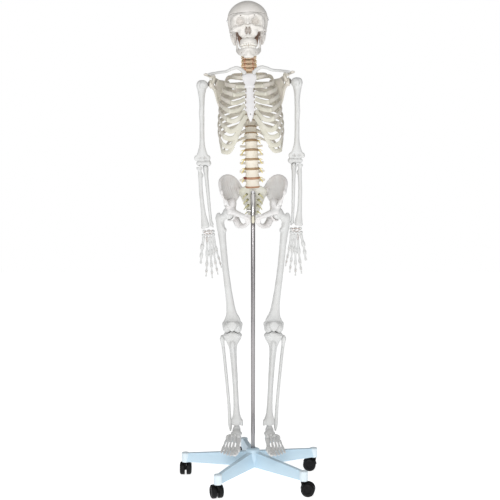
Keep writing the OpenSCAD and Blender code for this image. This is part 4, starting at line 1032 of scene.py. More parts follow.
def cartilage(i):
    f = np.array(RIB_FRONT[i], float)
    onward = unit(f - catmull(rib_path(i), 8)[-2])
    way = catmull([f + onward * 0.6, f + onward * (4 if i == 0 else 8), *CARTILAGE_WAY[i]], 28)
    stations = [(*p, 3.0, CARTILAGE_TALL[i] + 0.9 * exp(-(k / 5) ** 2)) for k, p in enumerate(way)]
    return sweep(stations, 14, round_ends=0.4)


for side, m in UPPER_SIDES:
    make(f"rib_cage_{side}", joined([rib(i).at(m) for i in range(12)]), TRUNK, CHEST,
        [f"ribs_{side}"])
    make(f"rib_cartilage_{side}", joined([cartilage(i).at(m) for i in range(LOOSE)]), TRUNK,
        CARTILAGE, [f"costal_cartilage_{side}"])


def sculpt_sternum():
    clay = Clay((-30, -100, 1338), (30, -24, 1538), 1.6)
    clay.tube([(0, -36, 1526, 24, 4.5), (0, -39, 1516, 28.5, 5.5), (0, -44, 1500, 23, 5.5),
        (0, -51, 1479, 14, 5), (0, -60, 1450, 13.5, 4.5), (0, -71, 1418, 15, 4.5),
        (0, -81, 1390, 14.5, 4.5), (0, -86, 1374, 11.5, 3.8), (0, -90, 1360, 7, 3),
        (0, -92, 1352, 4, 2.4)], 2, across=Y, steps=26)
    clay.ball((0, -35, 1538), (11, 12, 8), 4, cut=True)
    clay.tube([(-22, -56, 1477, 1.6), (22, -56, 1477, 1.6)], 3, cut=True)
    for _ in clay.sides():
        for z, y in ((1480, -50.5), (1457, -58), (1434, -66), (1413, -73), (1394, -79)):
            clay.ball((17.5, y, z), (3, 3.4, 5.2), 4)
    clay.tube([(0, -95, 1378, 2.3), (0, -72, 1378, 2.3)], 0.5, cut=True)
    return clay.roughen(24, 0.3, 31)


make_bone("breastbone", sculpt_sternum().shape(UPPER), TRUNK, STERNUM, "sternum")


def sculpt_clavicle():
    clay = Clay((14, -70, 1518), (158, 28, 1570), 1.6)
    clay.tube([(18, -44, 1533, 7.5, 8.5), (30, -52, 1544, 6.4, 7), (46, -57, 1550, 5.6, 6),
        (64, -57, 1546, 5.2, 5.4), (84, -47, 1539, 5.2), (110, -24, 1539, 6, 5), (130, -5, 1539, 8, 4.8),
        (147, 10, 1538, 9, 4.6)], 2, steps=28)
    return clay.roughen(20, 0.3, 32)


def sculpt_scapula(c):
    """c is the shoulder joint's place."""
    clay = Clay((60, -34, 1384), (182, 112, 1556), 1.7)
    top, root, low = (80, 90, 1518), (70, 98, 1490), (108, 92, 1396)
    neck, middle, edge = (132, 36, 1486), (80, 101, 1440), (122, 62, 1440)
    notch = (118, 44, 1519)
    corners = [top, root, middle, low, edge, neck, notch]
    clay.slab(corners, [(0, 1, 6), (1, 5, 6), (1, 2, 5), (2, 4, 5), (2, 3, 4)],
        [1.6, 1.8, 1.6, 2.8, 2.6, 5, 2], 2.5)
    # thick borders
    clay.tube([(*low, 4, 3), (*edge, 4, 4), (128, 46, 1466, 4, 4.6), (*neck, 5, 7)], 4, steps=12)
    clay.tube([(*top, 2.6, 2.6), (*root, 2.8, 2.8), (*middle, 2.6, 2.6), (*low, 4, 3)], 3, steps=14)
    # socket
    clay.tube([(*neck, 6, 10), (c[0] - 33, c[1] + 7, c[2] - 4, 9, 14)], 5, across=Y)
    clay.ball((c[0] - 30, c[1] + 6, c[2] - 1), (5, 12, 17), 3)
    clay.ball(c, 25.6, 1, cut=True)
    # ridge and acromion
    clay.tube([(*root, 2, 4), (88, 95, 1499, 2.4, 7), (106, 88, 1508, 3, 9), (122, 78, 1520, 4, 8),
        (140, 64, 1532, 6, 4.6), (153, 48, 1537, 9, 4.4), (162, 34, 1539, 9.5, 4.4),
        (161, 16, 1538, 9, 4.4)], 3, steps=22)
    clay.slab([(84, 92, 1497), (128, 50, 1500), (138, 62, 1530), (104, 90, 1512)], PLATE, 1.6, 3)
    # coracoid
    clay.tube([(138, 22, 1508, 7, 8), (132, 6, 1522, 6), (131, -8, 1528, 5), (138, -20, 1524, 5, 4.6),
        (144, -26, 1520, 4.4, 4)], 4, steps=14)
    return clay.roughen(26, 0.35, 33)


shoulder_joint = {side: joint_at(f"shoulder_side_{side}") for side in (LEFT, RIGHT)}
clavicle, scapula = sculpt_clavicle(), sculpt_scapula(tuple(UPPER.inverted() @ shoulder_joint[LEFT]))
for side, m in UPPER_SIDES:
    make_bone(f"collarbone_{side}", clavicle.shape(m), TRUNK, BONE, f"clavicle_{side}")
    make_bone(f"shoulder_blade_{side}", scapula.shape(m), TRUNK, CHEST, f"scapula_{side}")


# ---------------------------------------------------------------- arms
# the elbow's height under the shoulder
ELBOW = shoulder_joint[LEFT].z - joint_at("elbow_left").z


def sculpt_humerus():
    clay = Clay((-34, -28, -310), (34, 28, 26), 2.0)
    clay.tube([(1, 0, -8, 18, 17), (1.5, 0, -26, 15.5, 14), (1.5, 0, -50, 11.4), (1, 0, -80, 9.6, 10.4),
        (1, 1, -120, 9, 10), (1, 2, -170, 8.8, 9.6), (0.5, 1, -225, 10.4, 8.8), (0.5, -1, -256, 18, 7.6),
        (0, -2, -279, 27, 7.5)], 5, across=Y, steps=24)
    clay.ball((-2, 0, -4), (21, 22, 18), 4)
    clay.ball((9, -2, -6), (11, 15, 17), 6)
    clay.ball((3, -17, -8), (7, 6, 11), 4)
    clay.tube([(9, -19, 8, 2.4), (9, -15, -40, 2.2)], 3, cut=True)
    clay.tube([(6, -3, -84, 3), (8.4, -4, -112, 4), (6, -3, -140, 3)], 4)
    for _ in clay.sides():
        clay.ball((24, 0, -276), (6.5, 7, 10), 6)
    # pulley and knob of the elbow, with the hollows over them
    clay.tube([(-22, 0, -ELBOW, 11.4), (-12, 0, -ELBOW, 8.6), (-1, 0, -ELBOW, 10.4)], 1.5)
    clay.ball((12, -0.5, -ELBOW), (10.5, 10.2, 10.2), 1.5)
    clay.ball((-11, -9, -276), (7, 5, 8), 3, cut=True)
    clay.ball((13, -12, -274), (13, 7, 10), 3, cut=True)
    clay.ball((-11, 9, -274), (9, 6, 10), 3, cut=True)
    return clay.roughen(40, 0.4, 41)


def sculpt_ulna():
    clay = Clay((-26, -14, -248), (8, 34, 24), 1.7)
    clay.tube([(-10, 22, 11, 7, 6.5), (-10, 22, 0, 9, 7.5), (-10, 17, -14, 10, 9), (-10, 8, -24, 10.5, 11),
        (-10, 4, -45, 7.5, 9.5), (-10, 3, -100, 6.6, 7.6), (-10, 2, -165, 5.6, 6.2),
        (-11, 2, -215, 5.2, 5.6), (-12.5, 3, -232, 7.6)], 3, across=Y, steps=26)
    clay.tube([(-10, 16, 12, 6, 5), (-10, 6, 15, 4.5, 4)], 3)
    clay.tube([(-10, 4, -16, 7, 5), (-10, -8, -13.5, 5, 3.5)], 3)
    clay.tube([(-26, 0, 0, 12.4), (6, 0, 0, 12.4)], 1, cut=True)
    clay.ball((-16, 8, -241), (3, 3.4, 4), 2)
    return clay.roughen(30, 0.35, 42)


def sculpt_radius():
    clay = Clay((-8, -18, -250), (34, 16, -6), 1.7)
    clay.drum((13, -1, -17), 11, 11, 10, 0.04, 0)
    clay.tube([(13, -1, -20, 8), (12.5, 0, -31, 6.6), (12, 0, -44, 8.5, 8), (13, 0, -60, 7.4, 7),
        (15.5, 0, -110, 7.4, 6.8), (14.5, -2, -180, 8.6, 6.8), (12.5, -2, -218, 13, 8.6),
        (11.5, -2, -236, 15.5, 10.4)], 3, across=Y, steps=26)
    clay.ball((13, -1, -10), (7.5, 7.5, 3.4), 2, cut=True)
    clay.ball((5, 3, -44), (5, 5, 8), 4)
    clay.ball((22, -2, -241), (5, 6, 6), 4)
    clay.ball((9, -2, -248), (12, 8, 5), 2, cut=True)
    return clay.roughen(30, 0.35, 43)


# wrist bones as middle and half sizes, then each finger's joints from the wrist and its half width
CARPALS = [((14, 0, -10), (7, 6, 6)), ((0.5, 0, -10), (6, 6.5, 5.6)), ((-12, 1, -12), (6, 6, 5.4)),
    ((-13, -9.5, -14), (4, 3, 4.5)), ((18, -3, -24.5), (6, 6, 6)), ((7, 0, -24.5), (4.6, 6, 6)),
    ((-2.5, 0, -24), (4.6, 6, 7.6)), ((-12.6, 0, -25.5), (5, 6.5, 6.6))]
RAYS = [[(21, -6, -32), (31, -9, -68), (37, -10, -100), (42, -11, -130), 5],
    [(9, 0, -32.5), (15, -2, -96), (20, -4, -136), (24, -6, -161), (27, -8, -181), 4.4],
    [(-1, 0, -33.5), (2, -2, -97), (3, -4, -141), (4, -6, -169), (4, -8, -190), 4.4],
    [(-9, 0, -33.5), (-10, -2, -91), (-13, -4, -132), (-16, -6, -158), (-18, -8, -178), 4],
    [(-15.5, 0, -33), (-21, -2, -85), (-27, -4, -117), (-31, -6, -136), (-34, -8, -154), 3.7]]


def small_bone(clay, a, b, r, first, last, palm=(0, -1, 0)):
    """A finger or toe bone: a flared base, a slim bowed shaft and a rounded double-knuckled head."""
    a, b = np.array(a, float), np.array(b, float)
    way = unit(b - a)
    a, b = a + way * 1.1, b - way * 1.1
    bow = -np.array(palm, float) * np.linalg.norm(b - a) * 0.035
    base = 0.95 if first else 1.28
    head = 1.0 if last else 1.22
    stations = []
    for t, k in ((0.03, base), (0.12, base * 0.97), (0.28, 0.8), (0.5, 0.68), (0.72, 0.76),
            (0.9, head * 0.95), (0.97, head * 0.9)):
        stations.append((*(a + (b - a) * t + bow * sin(pi * t)), r * k, r * k * 0.88))
    if last:
        tip = ((0.92, 1.05, 0.6), (0.98, 0.8, 0.45))
        stations[5:] = [(*(a + (b - a) * t), r * wide, r * deep) for t, wide, deep in tip]
    clay.tube(stations, 0.4, across=Y if abs(way[2]) > abs(way[1]) else (0, 0, 1))


def row_of_bones(clay, points, r, slimming, **more):
    """The bones of a finger or toe from its root to its tip."""
    last = len(points) - 2
    for k in range(last + 1):
        small_bone(clay, points[k], points[k + 1], r * (1 - slimming * k), k == 0, k == last, **more)


def sculpt_hand():
    clay = Clay((-40, -16, -194), (48, 12, 0), 1.25)
    for c, r in CARPALS:
        c = np.array(c) * (1.22, 1, 1)
        r = np.array(r) * (1.17, 1.05, 1.06)
        clay.ball(c, r, 0)
        clay.ball(c + (1, -3, 1), r * 0.62, 1)
    for *points, r in RAYS:
        row_of_bones(clay, points, r * 1.3, 0.13)
    return clay.roughen(9, 0.22, 44)


def wire_loops():
    """Springy wire ties between the bones of the hand."""
    wires = []

    def wire(points, r=0.7, n=16):
        wires.append(sweep(catmull([(*p, r, r) for p in points], n), 7, across=(0.3, 1, 0.2)))

    wire([(17, -7, -11), (10, -8, -10), (1, -8.6, -9.5), (-8, -8.6, -10), (-15, -7.6, -11)])
    wire([(-15, -9, -12), (-8, -10, -18), (4, -9.5, -20), (14, -9.5, -17), (19, -8, -13)])
    wire([(9, -8, -31), (11, -7.5, -42), (10, -7, -52)], 0.6)
    for *points, _ in RAYS:
        for p, q in zip(np.array(points[1:-1], float), np.array(points[2:], float)):
            way = unit(q - p)
            wire([p - way * 4 + (0, -3.4, 0), p + (0, -4.6, 0), p + way * 4 + (0, -3.4, 0)], 0.5, 6)
    return joined(wires)


humerus, ulna, radius, hand = sculpt_humerus(), sculpt_ulna(), sculpt_radius(), sculpt_hand()
ties = wire_loops()
SHOULDER_DISC = [(0, -28), (4, -28), (4, -26.6), (8.4, -26.4), (9, -25.8), (9, -23.6), (8.4, -23),
    (4, -22.8), (4, -21), (0, -21)]
for side in (LEFT, RIGHT):
    at_shoulder = side_frame(side, shoulder_joint[side])
    elbow, wrist = joint_at(f"elbow_{side}"), joint_at(f"wrist_{side}")
    swing = spin(atan2(abs(elbow.x - wrist.x), elbow.z - wrist.z), "Y")
    at_elbow, at_wrist = side_frame(side, elbow, swing), side_frame(side, wrist, swing)
    make_bone(f"upper_arm_bone_{side}", humerus.shape(at_shoulder), f"upper_arm_{side}", BONE,
        f"humerus_{side}")
    make_bone(f"ulna_bone_{side}", ulna.shape(at_elbow), f"forearm_{side}", BONE, f"ulna_{side}")
    make_bone(f"radius_bone_{side}", radius.shape(at_elbow), f"forearm_{side}", BONE, f"radius_{side}")
    make_bone(f"hand_bones_{side}", hand.shape(at_wrist), f"hand_{side}", BONE, f"hand_{side}")
    make(f"hand_wires_{side}", ties.at(at_wrist), f"hand_{side}", WIRE)
    pivot = lathe(SHOULDER_DISC, 32, spin(pi / 2, "Y")).at(at_shoulder)
    make(f"shoulder_disc_{side}", pivot, f"shoulder_pivot_{side}", DARK_STEEL,
        [f"shoulder_swivel_{side}"], sharp=40)


# ---------------------------------------------------------------- pelvis
HIP_AT = joint_at("hip_left")


def from_hip(x, y, z):
    return HIP_AT.x + x, HIP_AT.y + y, HIP_AT.z + z


def sculpt_hip_bone():
    clay = Clay((6, -74, 944), (132, 92, 1166), 1.9)
    n = 14
    crest = catmull([(117, -58, 1092), (123, -36, 1128), (112, 0, 1151), (88, 36, 1156), (64, 64, 1141),
        (47, 80, 1113)], n)
    rim = catmull([(92, -38, 1046), (97, -14, 1052), (92, 8, 1058), (78, 34, 1070), (64, 50, 1078),
        (56, 60, 1086)], n)
    for k in range(n):
        a, b, c, d = crest[k], crest[k + 1], rim[k], rim[k + 1]
        out = np.array((3.5, 2.5, 0))
        m0, m1 = (a + c) / 2 + out, (b + d) / 2 + out
        thin = 1.9 if 2 < k < 11 else 3.0
        clay.slab([a, b, m1, m0, d, c], [(0, 1, 2), (0, 2, 3), (3, 2, 4), (3, 4, 5)],
            [3.6, 3.6, thin, thin, 4.6, 4.6], 2)
    clay.tube([(*q, 4.6 + 1.6 * exp(-((k - 3.5) / 2) ** 2)) for k, q in enumerate(crest)], 4)
    clay.ball((116, -60, 1094), (6, 6, 9), 5)
    clay.ball((101, -44, 1056), (8, 7, 11), 7)
    clay.ball((45, 82, 1110), (5, 6, 8), 4)
    clay.ball((52, 66, 1094), (8, 10, 16), 7)
    # bone over and behind the socket
    clay.ball((88, -8, 1040), (20, 26, 24), 8)
    clay.ball((76, -4, 1052), (14, 24, 22), 8)
    clay.ball(from_hip(-3, 0, 0), (27, 30.5, 31), 5)
    clay.tube([(84, 18, 1040, 12, 13), (76, 34, 1058, 8, 11), (62, 52, 1078, 7, 11)], 7)
    # sitting bone, and the ring round the opening below
    clay.tube([(80, 16, 1016, 14, 15), (66, 24, 994, 14), (56, 20, 975, 13, 12), (42, 5, 967, 10, 9),
        (28, -18, 972, 8, 8.5), (17, -38, 983, 7, 10)], 5, steps=18, across=Y)
    clay.ball((55, 22, 969), (11, 12, 10), 6)
    clay.tube([(72, 30, 1010, 5, 6), (60, 38, 1006, 2.6, 3)], 5)
    clay.tube([(80, -20, 1022, 14, 18), (60, -35, 1015, 11, 14), (37, -47, 1006, 9, 12.5),
        (17, -50, 998, 7.5, 14)], 5, steps=14, across=Y)
    clay.slab([(15, -52, 1006), (13.6, -48, 984), (23, -46, 986), (27, -50, 1006)], PLATE, 5.4, 4)
    clay.ball((26, -56, 1012), (4, 3, 3.4), 4)
    # the line from the sacrum's joint to the front of the pelvis
    clay.tube([(60, 46, 1076, 3, 4), (80, 24, 1058, 3, 4), (84, -6, 1044, 3, 4), (70, -30, 1028, 3, 4)], 6,
        steps=10)
    # socket, open outward, with its notch
    clay.ball(from_hip(0, 0, 0), 25.4, 2, cut=True)
    clay.tube([(*from_hip(6, -1, -1), 25), (*from_hip(44, -4, -8), 40)], 3, cut=True)
    clay.tube([(*from_hip(0, -4, -20), 8), (*from_hip(4, -6, -38), 8)], 4, cut=True)
    # opening below
    clay.ball((38, -16, 988), (10, 30, 11), 4, cut=True, turn=spin(0.35, "Z"))
    clay.ball(from_hip(-4, -27, -20), (21, 14, 15), 4, cut=True)
    return clay.roughen(34, 0.4, 51)


hip_bone = sculpt_hip_bone()
for side in (LEFT, RIGHT):
    make_bone(f"pelvic_bone_{side}", hip_bone.shape(side_frame(side)), TRUNK, HIP, f"hip_bone_{side}")
clay = Clay((-8, -60, 974), (8, -38, 1012), 1.2)
clay.tube([(0, -50.5, 1003, 5.4, 6), (0, -49, 984, 5.2, 5.4)], 1, across=Y)
make("pubic_joint_disc", clay.shape(), TRUNK, PUBIC, ["pubic_disc"])


# ---------------------------------------------------------------- legs
# how far out and down the knee lies from the hip, and the ankle from the knee
KNEE_AT, ANKLE_AT = joint_at("knee_left"), joint_at("ankle_left")
KX, KNEE = KNEE_AT.x - HIP_AT.x, HIP_AT.z - KNEE_AT.z
AX, ANKLE = ANKLE_AT.x - KNEE_AT.x, KNEE_AT.z - ANKLE_AT.z


def sculpt_femur():
    clay = Clay((-54, -38, -458), (54, 30, 28), 2.2)
    clay.tube([(35, 6, -20, 14), (31.5, 5, -48, 15.5, 14), (27, 3, -75, 14.5, 14.2),
        (22, -2, -120, 12.6, 12.8), (14, -6, -200, 12.2, 12.8), (4, -8, -280, 13, 12.8),
        (-5, -4, -345, 15.5, 12.6), (-9, -1, -380, 21, 13.5), (KX, 0, -402, 30, 14),
        (KX, -2, -414, 33, 15)], 4, across=Y, steps=34)
    clay.ball((0, 0, 0), 23.4, 2)
    clay.ball((-22, 3, -4), (4, 5, 5), 2, cut=True)
    clay.tube([(6, 1, -4, 15.5, 16), (20, 3, -13, 12.5, 13.5), (34, 6, -24, 14, 17)], 4)
    clay.ball((40, 8, -15), (9.5, 12, 17), 5)
    clay.ball((36, 17, -4), (5, 5, 6), 4)
    clay.ball((27, 17, -8), (6, 4, 9), 5, cut=True)
    clay.ball((16, 14, -64), (7, 7, 9), 7)
    clay.tube([(38, -4, -30, 3), (24, -9, -52, 2.4), (14, -4, -66, 2.4)], 6)
    clay.tube([(34, 17, -14, 3), (26, 18, -40, 3), (17, 17, -62, 3)], 6)
    clay.tube([(22, 13, -90, 2.4), (16, 8.5, -180, 3), (8, 5.5, -260, 2.8), (0, 7, -320, 2)], 6, steps=10)
    for s in (1, -1):
        clay.ball((KX + s * 19.5, 0.5, -KNEE), (17, 22.5, 22.5), 5)
        clay.ball((KX + s * 16, -15, -KNEE + 5), (14, 15.5, 17.5), 6)
        clay.ball((KX + s * 33, 1, -KNEE + 12), (6, 9, 9), 5)
    clay.tube([(KX, 34, -KNEE - 5, 9, 14), (KX, 14, -KNEE - 10, 8.5, 13), (KX, -2, -KNEE - 21, 7.5, 9)], 4,
        cut=True)
    clay.tube([(KX, -36, -KNEE + 22, 8, 4), (KX, -33, -KNEE, 8, 5), (KX, -22, -KNEE - 18, 6, 5)], 7,
        cut=True, across=Y)
    return clay.roughen(45, 0.45, 61)


def sculpt_patella():
    clay = Clay((KX - 24, -52, -KNEE - 24), (KX + 24, -32, -KNEE + 26), 1.3)
    clay.ball((KX, -40, -KNEE + 13), (18, 6.6, 15), 0)
    clay.ball((KX, -40, -KNEE + 3), (11, 5.4, 13), 5)
    clay.ball((KX, -29, -KNEE + 12), (20, 5, 14), 3, cut=True)
    return clay.roughen(14, 0.3, 62)


def sculpt_tibia():
    clay = Clay((-46, -32, -396), (42, 28, -18), 2.0)
    clay.tube([(-1, 1, -31, 34.5, 21), (-1, 1, -38, 32.5, 21), (-1, 1, -52, 24, 18),
        (-1.5, 0, -70, 16.5, 16), (-3.5, -1, -100, 12.8, 14.5), (-9, -1.5, -180, 10.8, 12.5),
        (-14, 0, -280, 10.2, 10.6), (-15.5, 1, -330, 13, 12), (AX, 1, -356, 20, 15),
        (AX, 1, -368, 19, 15)], 4, across=Y, steps=34)
    # joint faces at the top, the spine between them and the bump for the knee cap's band
    for s in (1, -1):
        clay.ball((-1 + s * 18.5, 1, -31), (17.5, 21, 7.5), 3)
        clay.ball((-1 + s * 18.5, 0, -8), (15, 21, 16.4), 3, cut=True)
        clay.ball((-1 + s * 4, 2, -26), (2.4, 4, 4), 2)
    clay.ball((-1, 24, -34), (7, 8, 14), 6, cut=True)
    clay.ball((-1, -19, -62), (8.5, 6.5, 13), 7)
    # the shin's sharp front edge
    clay.tube([(-1, -19, -74, 4), (-5, -15, -110, 3.4), (-9, -13.5, -180, 3), (-14, -10, -260, 2.6),
        (-20, -8, -330, 2)], 8, steps=12)
    # inner ankle knob and the hollow that takes the foot
    clay.tube([(AX - 18, 0, -358, 6, 11), (AX - 20, -1, -372, 5, 10), (AX - 20.5, -2, -384, 4.6, 8)], 4,
        across=Y)
    clay.tube([(AX - 14, 0, -ANKLE, 20.6), (AX + 26, 0, -ANKLE, 20.6)], 1, cut=True)
    return clay.roughen(45, 0.4, 63)


def sculpt_fibula():
    clay = Clay((0, -6, -404), (50, 26, -28), 1.7)
    clay.tube([(38, 14, -40, 7, 7.4), (38.5, 14, -47, 9.4, 9.6), (37, 13, -62, 7),
        (31, 12, -110, 6.2, 6.6), (23, 9, -190, 6.2, 6.6), (14, 7, -290, 6.2, 6.4), (11, 6, -345, 7, 7.8),
        (9.5, 6, -370, 7.6, 9.8), (8, 6, -387, 5.4, 7.6), (8, 6, -396, 3.4, 4.4)], 3, across=Y, steps=30)
    clay.ball((39, 16, -36), (3.6, 4, 5), 4)
    clay.tube([(33, 5, -80, 1.6), (24, 3, -170, 1.8), (13, 1.5, -280, 1.6)], 5, steps=8)
    return clay.roughen(34, 0.35, 64)


# foot bones as middle and half sizes, then each toe's joints and its half width
TARSALS = [((-8, -43.5, -17), (13, 5.4, 11)), ((-15, -58, -24), (6.5, 8.5, 11)),
    ((-3.8, -56, -19), (4.6, 7.4, 9)), ((5.8, -57, -21), (5, 8.4, 9)), ((17, -47, -32), (7.8, 11, 9))]
TOES = [[(-17, -68, -30), (-21, -120, -52), (-20, -149, -54), (-19, -173, -56), 7.4],
    [(-5, -66.5, -22), (-6, -125, -52), (-6, -150, -55), (-6, -161, -57), (-6, -171, -58.5), 4.6],
    [(5, -67.5, -24), (6, -121, -53), (6, -144, -56), (6, -154, -57.5), (6, -163, -58.5), 4.3],
    [(14, -60.5, -29), (18, -114, -54), (18, -135, -56.5), (18, -144, -57.8), (18, -152, -58.5), 4.1],
    [(23, -57, -36), (30, -105, -55), (30, -123, -57), (30, -131, -58), (30, -139, -59), 3.9]]


def arched(p):
    """Lifts and widens the middle of the foot, from the ankle to the toes."""
    x, y, z = p
    out = min(1.0, max(0.0, (-y - 20) / 40))
    wide = 0.32 if x > 0 and y > -90 else 0.12
    return x * (1 + wide * out), y, z + out * (11 - 4 * min(1.0, max(0.0, (-y - 60) / 90)))


def sculpt_foot():
    size = ((-36, -182, -66), (48, 62, 22), 1.35)
    clay = Clay(*size)
    # ankle bone
    clay.ball((0, 0, 0), (15, 19, 19), 0)
    clay.ball((1, 2, -14), (22, 18, 10), 5)
    clay.tube([(-1, -8, -4, 16, 14), (-3, -22, -4, 17, 13), (-6, -35, -6, 18, 12)], 4)
    # heel bone, parted from it by a thin joint line
    heel = Clay(*size)
    heel.tube([(5, 50, -41, 12, 13), (5, 41, -43, 15, 19), (6, 18, -39, 13, 16), (9, -6, -32, 17, 15),
        (18, -24, -25, 15, 14), (23, -37, -22, 13)], 4, steps=16)
    heel.tube([(-8, 0, -27, 6, 5), (-10, -8, -28, 6, 5)], 4)
    clay.blend(heel, 0.3)
    for c, r in TARSALS:
        clay.ball(arched(c), np.array(r) * (1.3, 1.08, 1.15), 0.4)
    for *points, r in TOES:
        row_of_bones(clay, [arched(p) for p in points], r * 1.32, 0.12, palm=(0, 0, -1))
    # the two seed bones under the big toe
    for x in (-26, -18):
        clay.ball((x, -118, -51), (3.4, 4, 3), 1)
    return clay.roughen(12, 0.3, 65)


# name, shape, joint, body and CAD node of each bone
leg_bones = [("thigh_bone", sculpt_femur(), "hip", "thigh", "femur"),
             # the knee cap rides on the thigh bone
             ("knee_cap", sculpt_patella(), "hip", "thigh", "patella"),
             ("shin_bone", sculpt_tibia(), "knee", "shank", "tibia"),
             ("calf_bone", sculpt_fibula(), "knee", "shank", "fibula"),
             ("foot_bones", sculpt_foot(), "ankle", "foot", "foot")]
for side in (LEFT, RIGHT):
    for name, bone, joint, body, node in leg_bones:
        # the toes point a little outward
        turn = spin(radians(9 if joint == "ankle" else 0), "Z")
        place = side_frame(side, joint_at(f"{joint}_{side}"), turn)
        make_bone(f"{name}_{side}", bone.shape(place), f"{body}_{side}", BONE, f"{node}_{side}")


# ---------------------------------------------------------------- stand
SWIVELS = [joint_at(f"caster_{i}_swivel") for i in range(1, 6)]
REACH = hypot(SWIVELS[0].x, SWIVELS[0].y)


def rounded(corners, r, steps=4):
    """A closed outline through corners in a plane, each rounded by a small arc."""
    c = np.asarray(corners, float)
    out = []
    for i in range(len(c)):
        p, q, n = c[i - 1], c[i], c[(i + 1) % len(c)]
        a, b = q + unit(p - q) * r, q + unit(n - q) * r
        out += [(1 - t) ** 2 * a + 2 * t * (1 - t) * q + t * t * b for t in np.linspace(0, 1, steps)]
    return np.array(out)


def leg_part(spot, low, high, root, tip, r):
    """A tapering bar along a leg. root and tip give half widths below and above, and two heights."""
    u = np.array(Vector((spot.x, spot.y)).normalized())
    rings = []
    for t in np.linspace(0, 1, 9):
        wl, wh, z0, z1 = (mix(a, b, t) for a, b in zip(root, tip))
        out, up = rounded([(-wl, z0), (wl, z0), (wh, z1), (-wh, z1)], r).T
        at = u * mix(low, high, t)
        rings.append(np.stack([at[0] - u[1] * out, at[1] + u[0] * out, up], 1))
    return rings_to_shape(rings)


# profiles of turned parts, as radius and height
HUB = [(0, 61), (12, 61), (12.4, 57), (13, 55.4), (36, 55), (38, 57), (36, 84), (31, 103), (27, 111),
    (25.5, 116), (24, 118.6), (21, 120), (12, 120.6), (9.6, 121.6), (8.4, 121.6), (8.3, 112), (0, 111)]
LEG_END = [(0, 54.5), (14, 54.5), (15, 55.6), (15.2, 62), (15.2, 86), (14.6, 89), (13, 90.6), (9, 91),
    (8.4, 92), (0, 92.2)]
POLE_TUBE = [(0, 64.4), (7.6, 64.4), (8, 65), (8, 1085), (7.6, 1085.8), (0, 1085.8)]
SLEEVE = [(0, 1007.3), (9.3, 1007.3), (10, 1008), (10, 1012), (9.6, 1012.6), (9.6, 1084), (10, 1084.6),
    (10, 1090), (9.4, 1090.8), (0, 1090.8)]
SLEEVE_BOSS = [(0, 2), (5, 2), (5, 14), (7.2, 14), (8, 14.8), (8, 21), (7.2, 21.8), (0, 22)]
BOLT = [(0, 54), (6.6, 54), (7, 54.4), (7, 57), (11.6, 57), (12, 57.4), (12, 58.8), (4, 59), (4, 66),
    (6.2, 66.2), (6.2, 86), (4, 86.2), (4, 88.6), (0, 88.8)]
CAP_NUT = [(0, 1091.2), (8, 1091.2), (8.4, 1091.8), (8.4, 1096.6), (7.2, 1097.2), (6.4, 1099.6),
    (4, 1100.8), (0, 1101)]
STEM = [(0, 50.6), (11.4, 50.6), (12, 51.2), (12, 53), (11.4, 53.4), (5, 53.6), (5, 81), (4.4, 81.6),
    (0, 81.6)]
AXLE = [(0, -20), (2.9, -20), (2.9, 20), (0, 20)]
WHEEL = [(0, 3.6), (23, 3.6), (24.4, 4.2), (25, 5.4), (25, 16), (24.4, 18), (22.6, 20.4), (20, 22),
    (17, 22.8), (12.4, 23), (11.4, 22.2), (10, 20.6), (4, 20.2), (0, 20.2)]

base = []
for spot in SWIVELS:
    base.append(leg_part(spot, 12, REACH - 8, (25, 9.5, 56.5, 108), (14, 6.5, 56.5, 88), 2.4))
    base.append(leg_part(spot, 20, REACH - 10, (10.6, 10.6, 106, 109.5), (7.6, 7.6, 86.5, 89.6), 1.0))
make("base_star_moulding", joined(base + [lathe(HUB, 56)]), TRUNK, BLUE, ["base_star"],
    sharp=38)
caps = joined([lathe(LEG_END, 40, move((spot.x, spot.y, 0))) for spot in SWIVELS])
make("caster_sockets", caps, TRUNK, SOCKET, sharp=40)
make("pole_tube", lathe(POLE_TUBE, 40), TRUNK, POLE, ["pole"], sharp=40)

# the sleeve at the pelvis, with its bracket and its boss
clay = Clay((-11, 2, 1062), (11, 20, 1092), 1.0)
clay.slab([(-6, 8, 1077), (6, 8, 1077), (6, 15.5, 1077), (-6, 15.5, 1077)], PLATE, 3, 1)
for y in (12, 8):
    clay.slab([(-6, y, 1069), (6, y, 1069), (6, y, 1085), (-6, y, 1085)], PLATE, 3.2, 1)
boss = lathe(SLEEVE_BOSS, 28, move((0, 0, 1024)) @ spin(-pi / 2, "Y"))
make("sleeve_tube", joined([lathe(SLEEVE, 40), clay.shape(), boss]), TRUNK, CHROME,
    ["pelvis_sleeve"], sharp=40)
make("bolt_and_cap_nut", joined([lathe(BOLT, 6), lathe(CAP_NUT, 6)]), TRUNK, STEEL,
    ["stand_fasteners"], sharp=30)


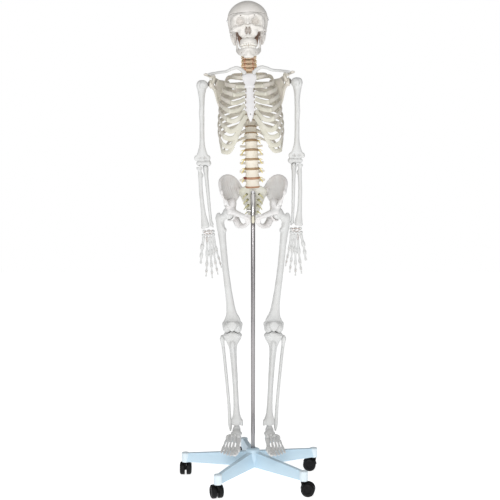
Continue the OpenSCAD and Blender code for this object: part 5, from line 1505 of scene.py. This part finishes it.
# ---------------------------------------------------------------- casters
for i, swivel in enumerate(SWIVELS, 1):
    roll = joint_at(f"caster_{i}_roll")
    place = move((swivel.x, swivel.y, 0)) @ spin(atan2(roll.y - swivel.y, roll.x - swivel.x), "Z")
    trail, wheel_r = hypot(roll.x - swivel.x, roll.y - swivel.y), joint_at("caster_1_roll").z
    axle = move((trail, 0, wheel_r))
    clay = Clay((-14, -5, 14), (32, 5, 54), 1.0)
    clay.slab([(-7, 0, 47), (10, 0, 47), (trail + 4, 0, wheel_r), (-5, 0, 30)], PLATE, 2.8, 2)
    clay.tube([(trail, -2.9, wheel_r, 8), (trail, 2.9, wheel_r, 8)], 2)
    clay.tube([(-6, 0, 47, 4, 3), (10, 0, 47, 4, 3)], 2)
    # hood over the wheels
    hood = [(trail + 27.0 * cos(pi * t) * 0.93, 0, wheel_r + 25.6 * sin(pi * t) * 0.98, 3.0, 1.2)
        for t in np.linspace(0.15, 1.0, 12)]
    fork = joined([lathe(STEM, 28), clay.shape(), sweep(hood, 10, across=Y),
        lathe(AXLE, 20, axle @ spin(pi / 2, "X"))])
    make(f"caster_body_{i}", fork.at(place), f"caster_{i}", BLACK, [f"caster_fork_{i}"],
        sharp=40)
    tyres = joined([lathe(WHEEL, 56, axle @ spin(-s * pi / 2, "X")) for s in (1, -1)])
    make(f"caster_tyres_{i}", tyres.at(place), f"wheels_{i}", TYRE, [f"caster_wheels_{i}"],
        sharp=35)


# ---------------------------------------------------------------- studio
def add_object(name, data, place, turn):
    obj = bpy.data.objects.new(name, data)
    bpy.context.scene.collection.objects.link(obj)
    obj.location = place
    obj.rotation_euler = turn
    return obj


WHITE = (1, 1, 1, 1)
floor_mat = material("floor", (0.9, 0.9, 0.9), 0.9)
set_inputs(floor_mat.node_tree.nodes["Principled BSDF"], Emission_Color=WHITE, Emission_Strength=0.76)
FLOOR = 9000
corners = [(-FLOOR, -FLOOR, 0), (FLOOR, -FLOOR, 0), (FLOOR, FLOOR, 0), (-FLOOR, FLOOR, 0)]
floor = new_object("floor", corners, [(0, 1, 2, 3)], smooth=False)
floor.data.materials.append(floor_mat)
floor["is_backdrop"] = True

# the backdrop is white to the camera and lights the skeleton more softly
world = bpy.data.worlds.new("studio")
bpy.context.scene.world = world
world.use_nodes = True
nodes, links = world.node_tree.nodes, world.node_tree.links
soft = set_inputs(nodes["Background"], Color=WHITE, Strength=0.3)
white = set_inputs(nodes.new("ShaderNodeBackground"), Color=WHITE, Strength=1.0)
path = nodes.new("ShaderNodeLightPath")
pick = nodes.new("ShaderNodeMixShader")
links.new(path.outputs["Is Camera Ray"], pick.inputs["Fac"])
links.new(soft.outputs["Background"], pick.inputs[1])
links.new(white.outputs["Background"], pick.inputs[2])
links.new(pick.outputs["Shader"], nodes["World Output"].inputs["Surface"])
bpy.context.scene.view_settings.view_transform = "Standard"

for name, place, size, energy in (("key", (-0.5, -3.6, 2.3), 1.4, 62), ("fill", (1.4, -3.2, 1.2), 2.0, 14)):
    lamp = bpy.data.lights.new(name, "AREA")
    lamp.shape = "SQUARE"
    lamp.size = size
    lamp.energy = energy
    aim = Vector((0, 0, 0.9)) - Vector(place)
    add_object(name, lamp, place, aim.to_track_quat("-Z", "Y").to_euler())

camera = bpy.data.cameras.new("camera")
camera.sensor_width = 36
camera.lens = 67.14
camera.clip_end = 60
bpy.context.scene.camera = add_object("camera", camera, (-0.0113, -3.5, 1.1), (radians(86.36), 0, 0))

end_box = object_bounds()
rows = [[[float(c) for c in corner] for corner in box] for box in (start_box, end_box)]
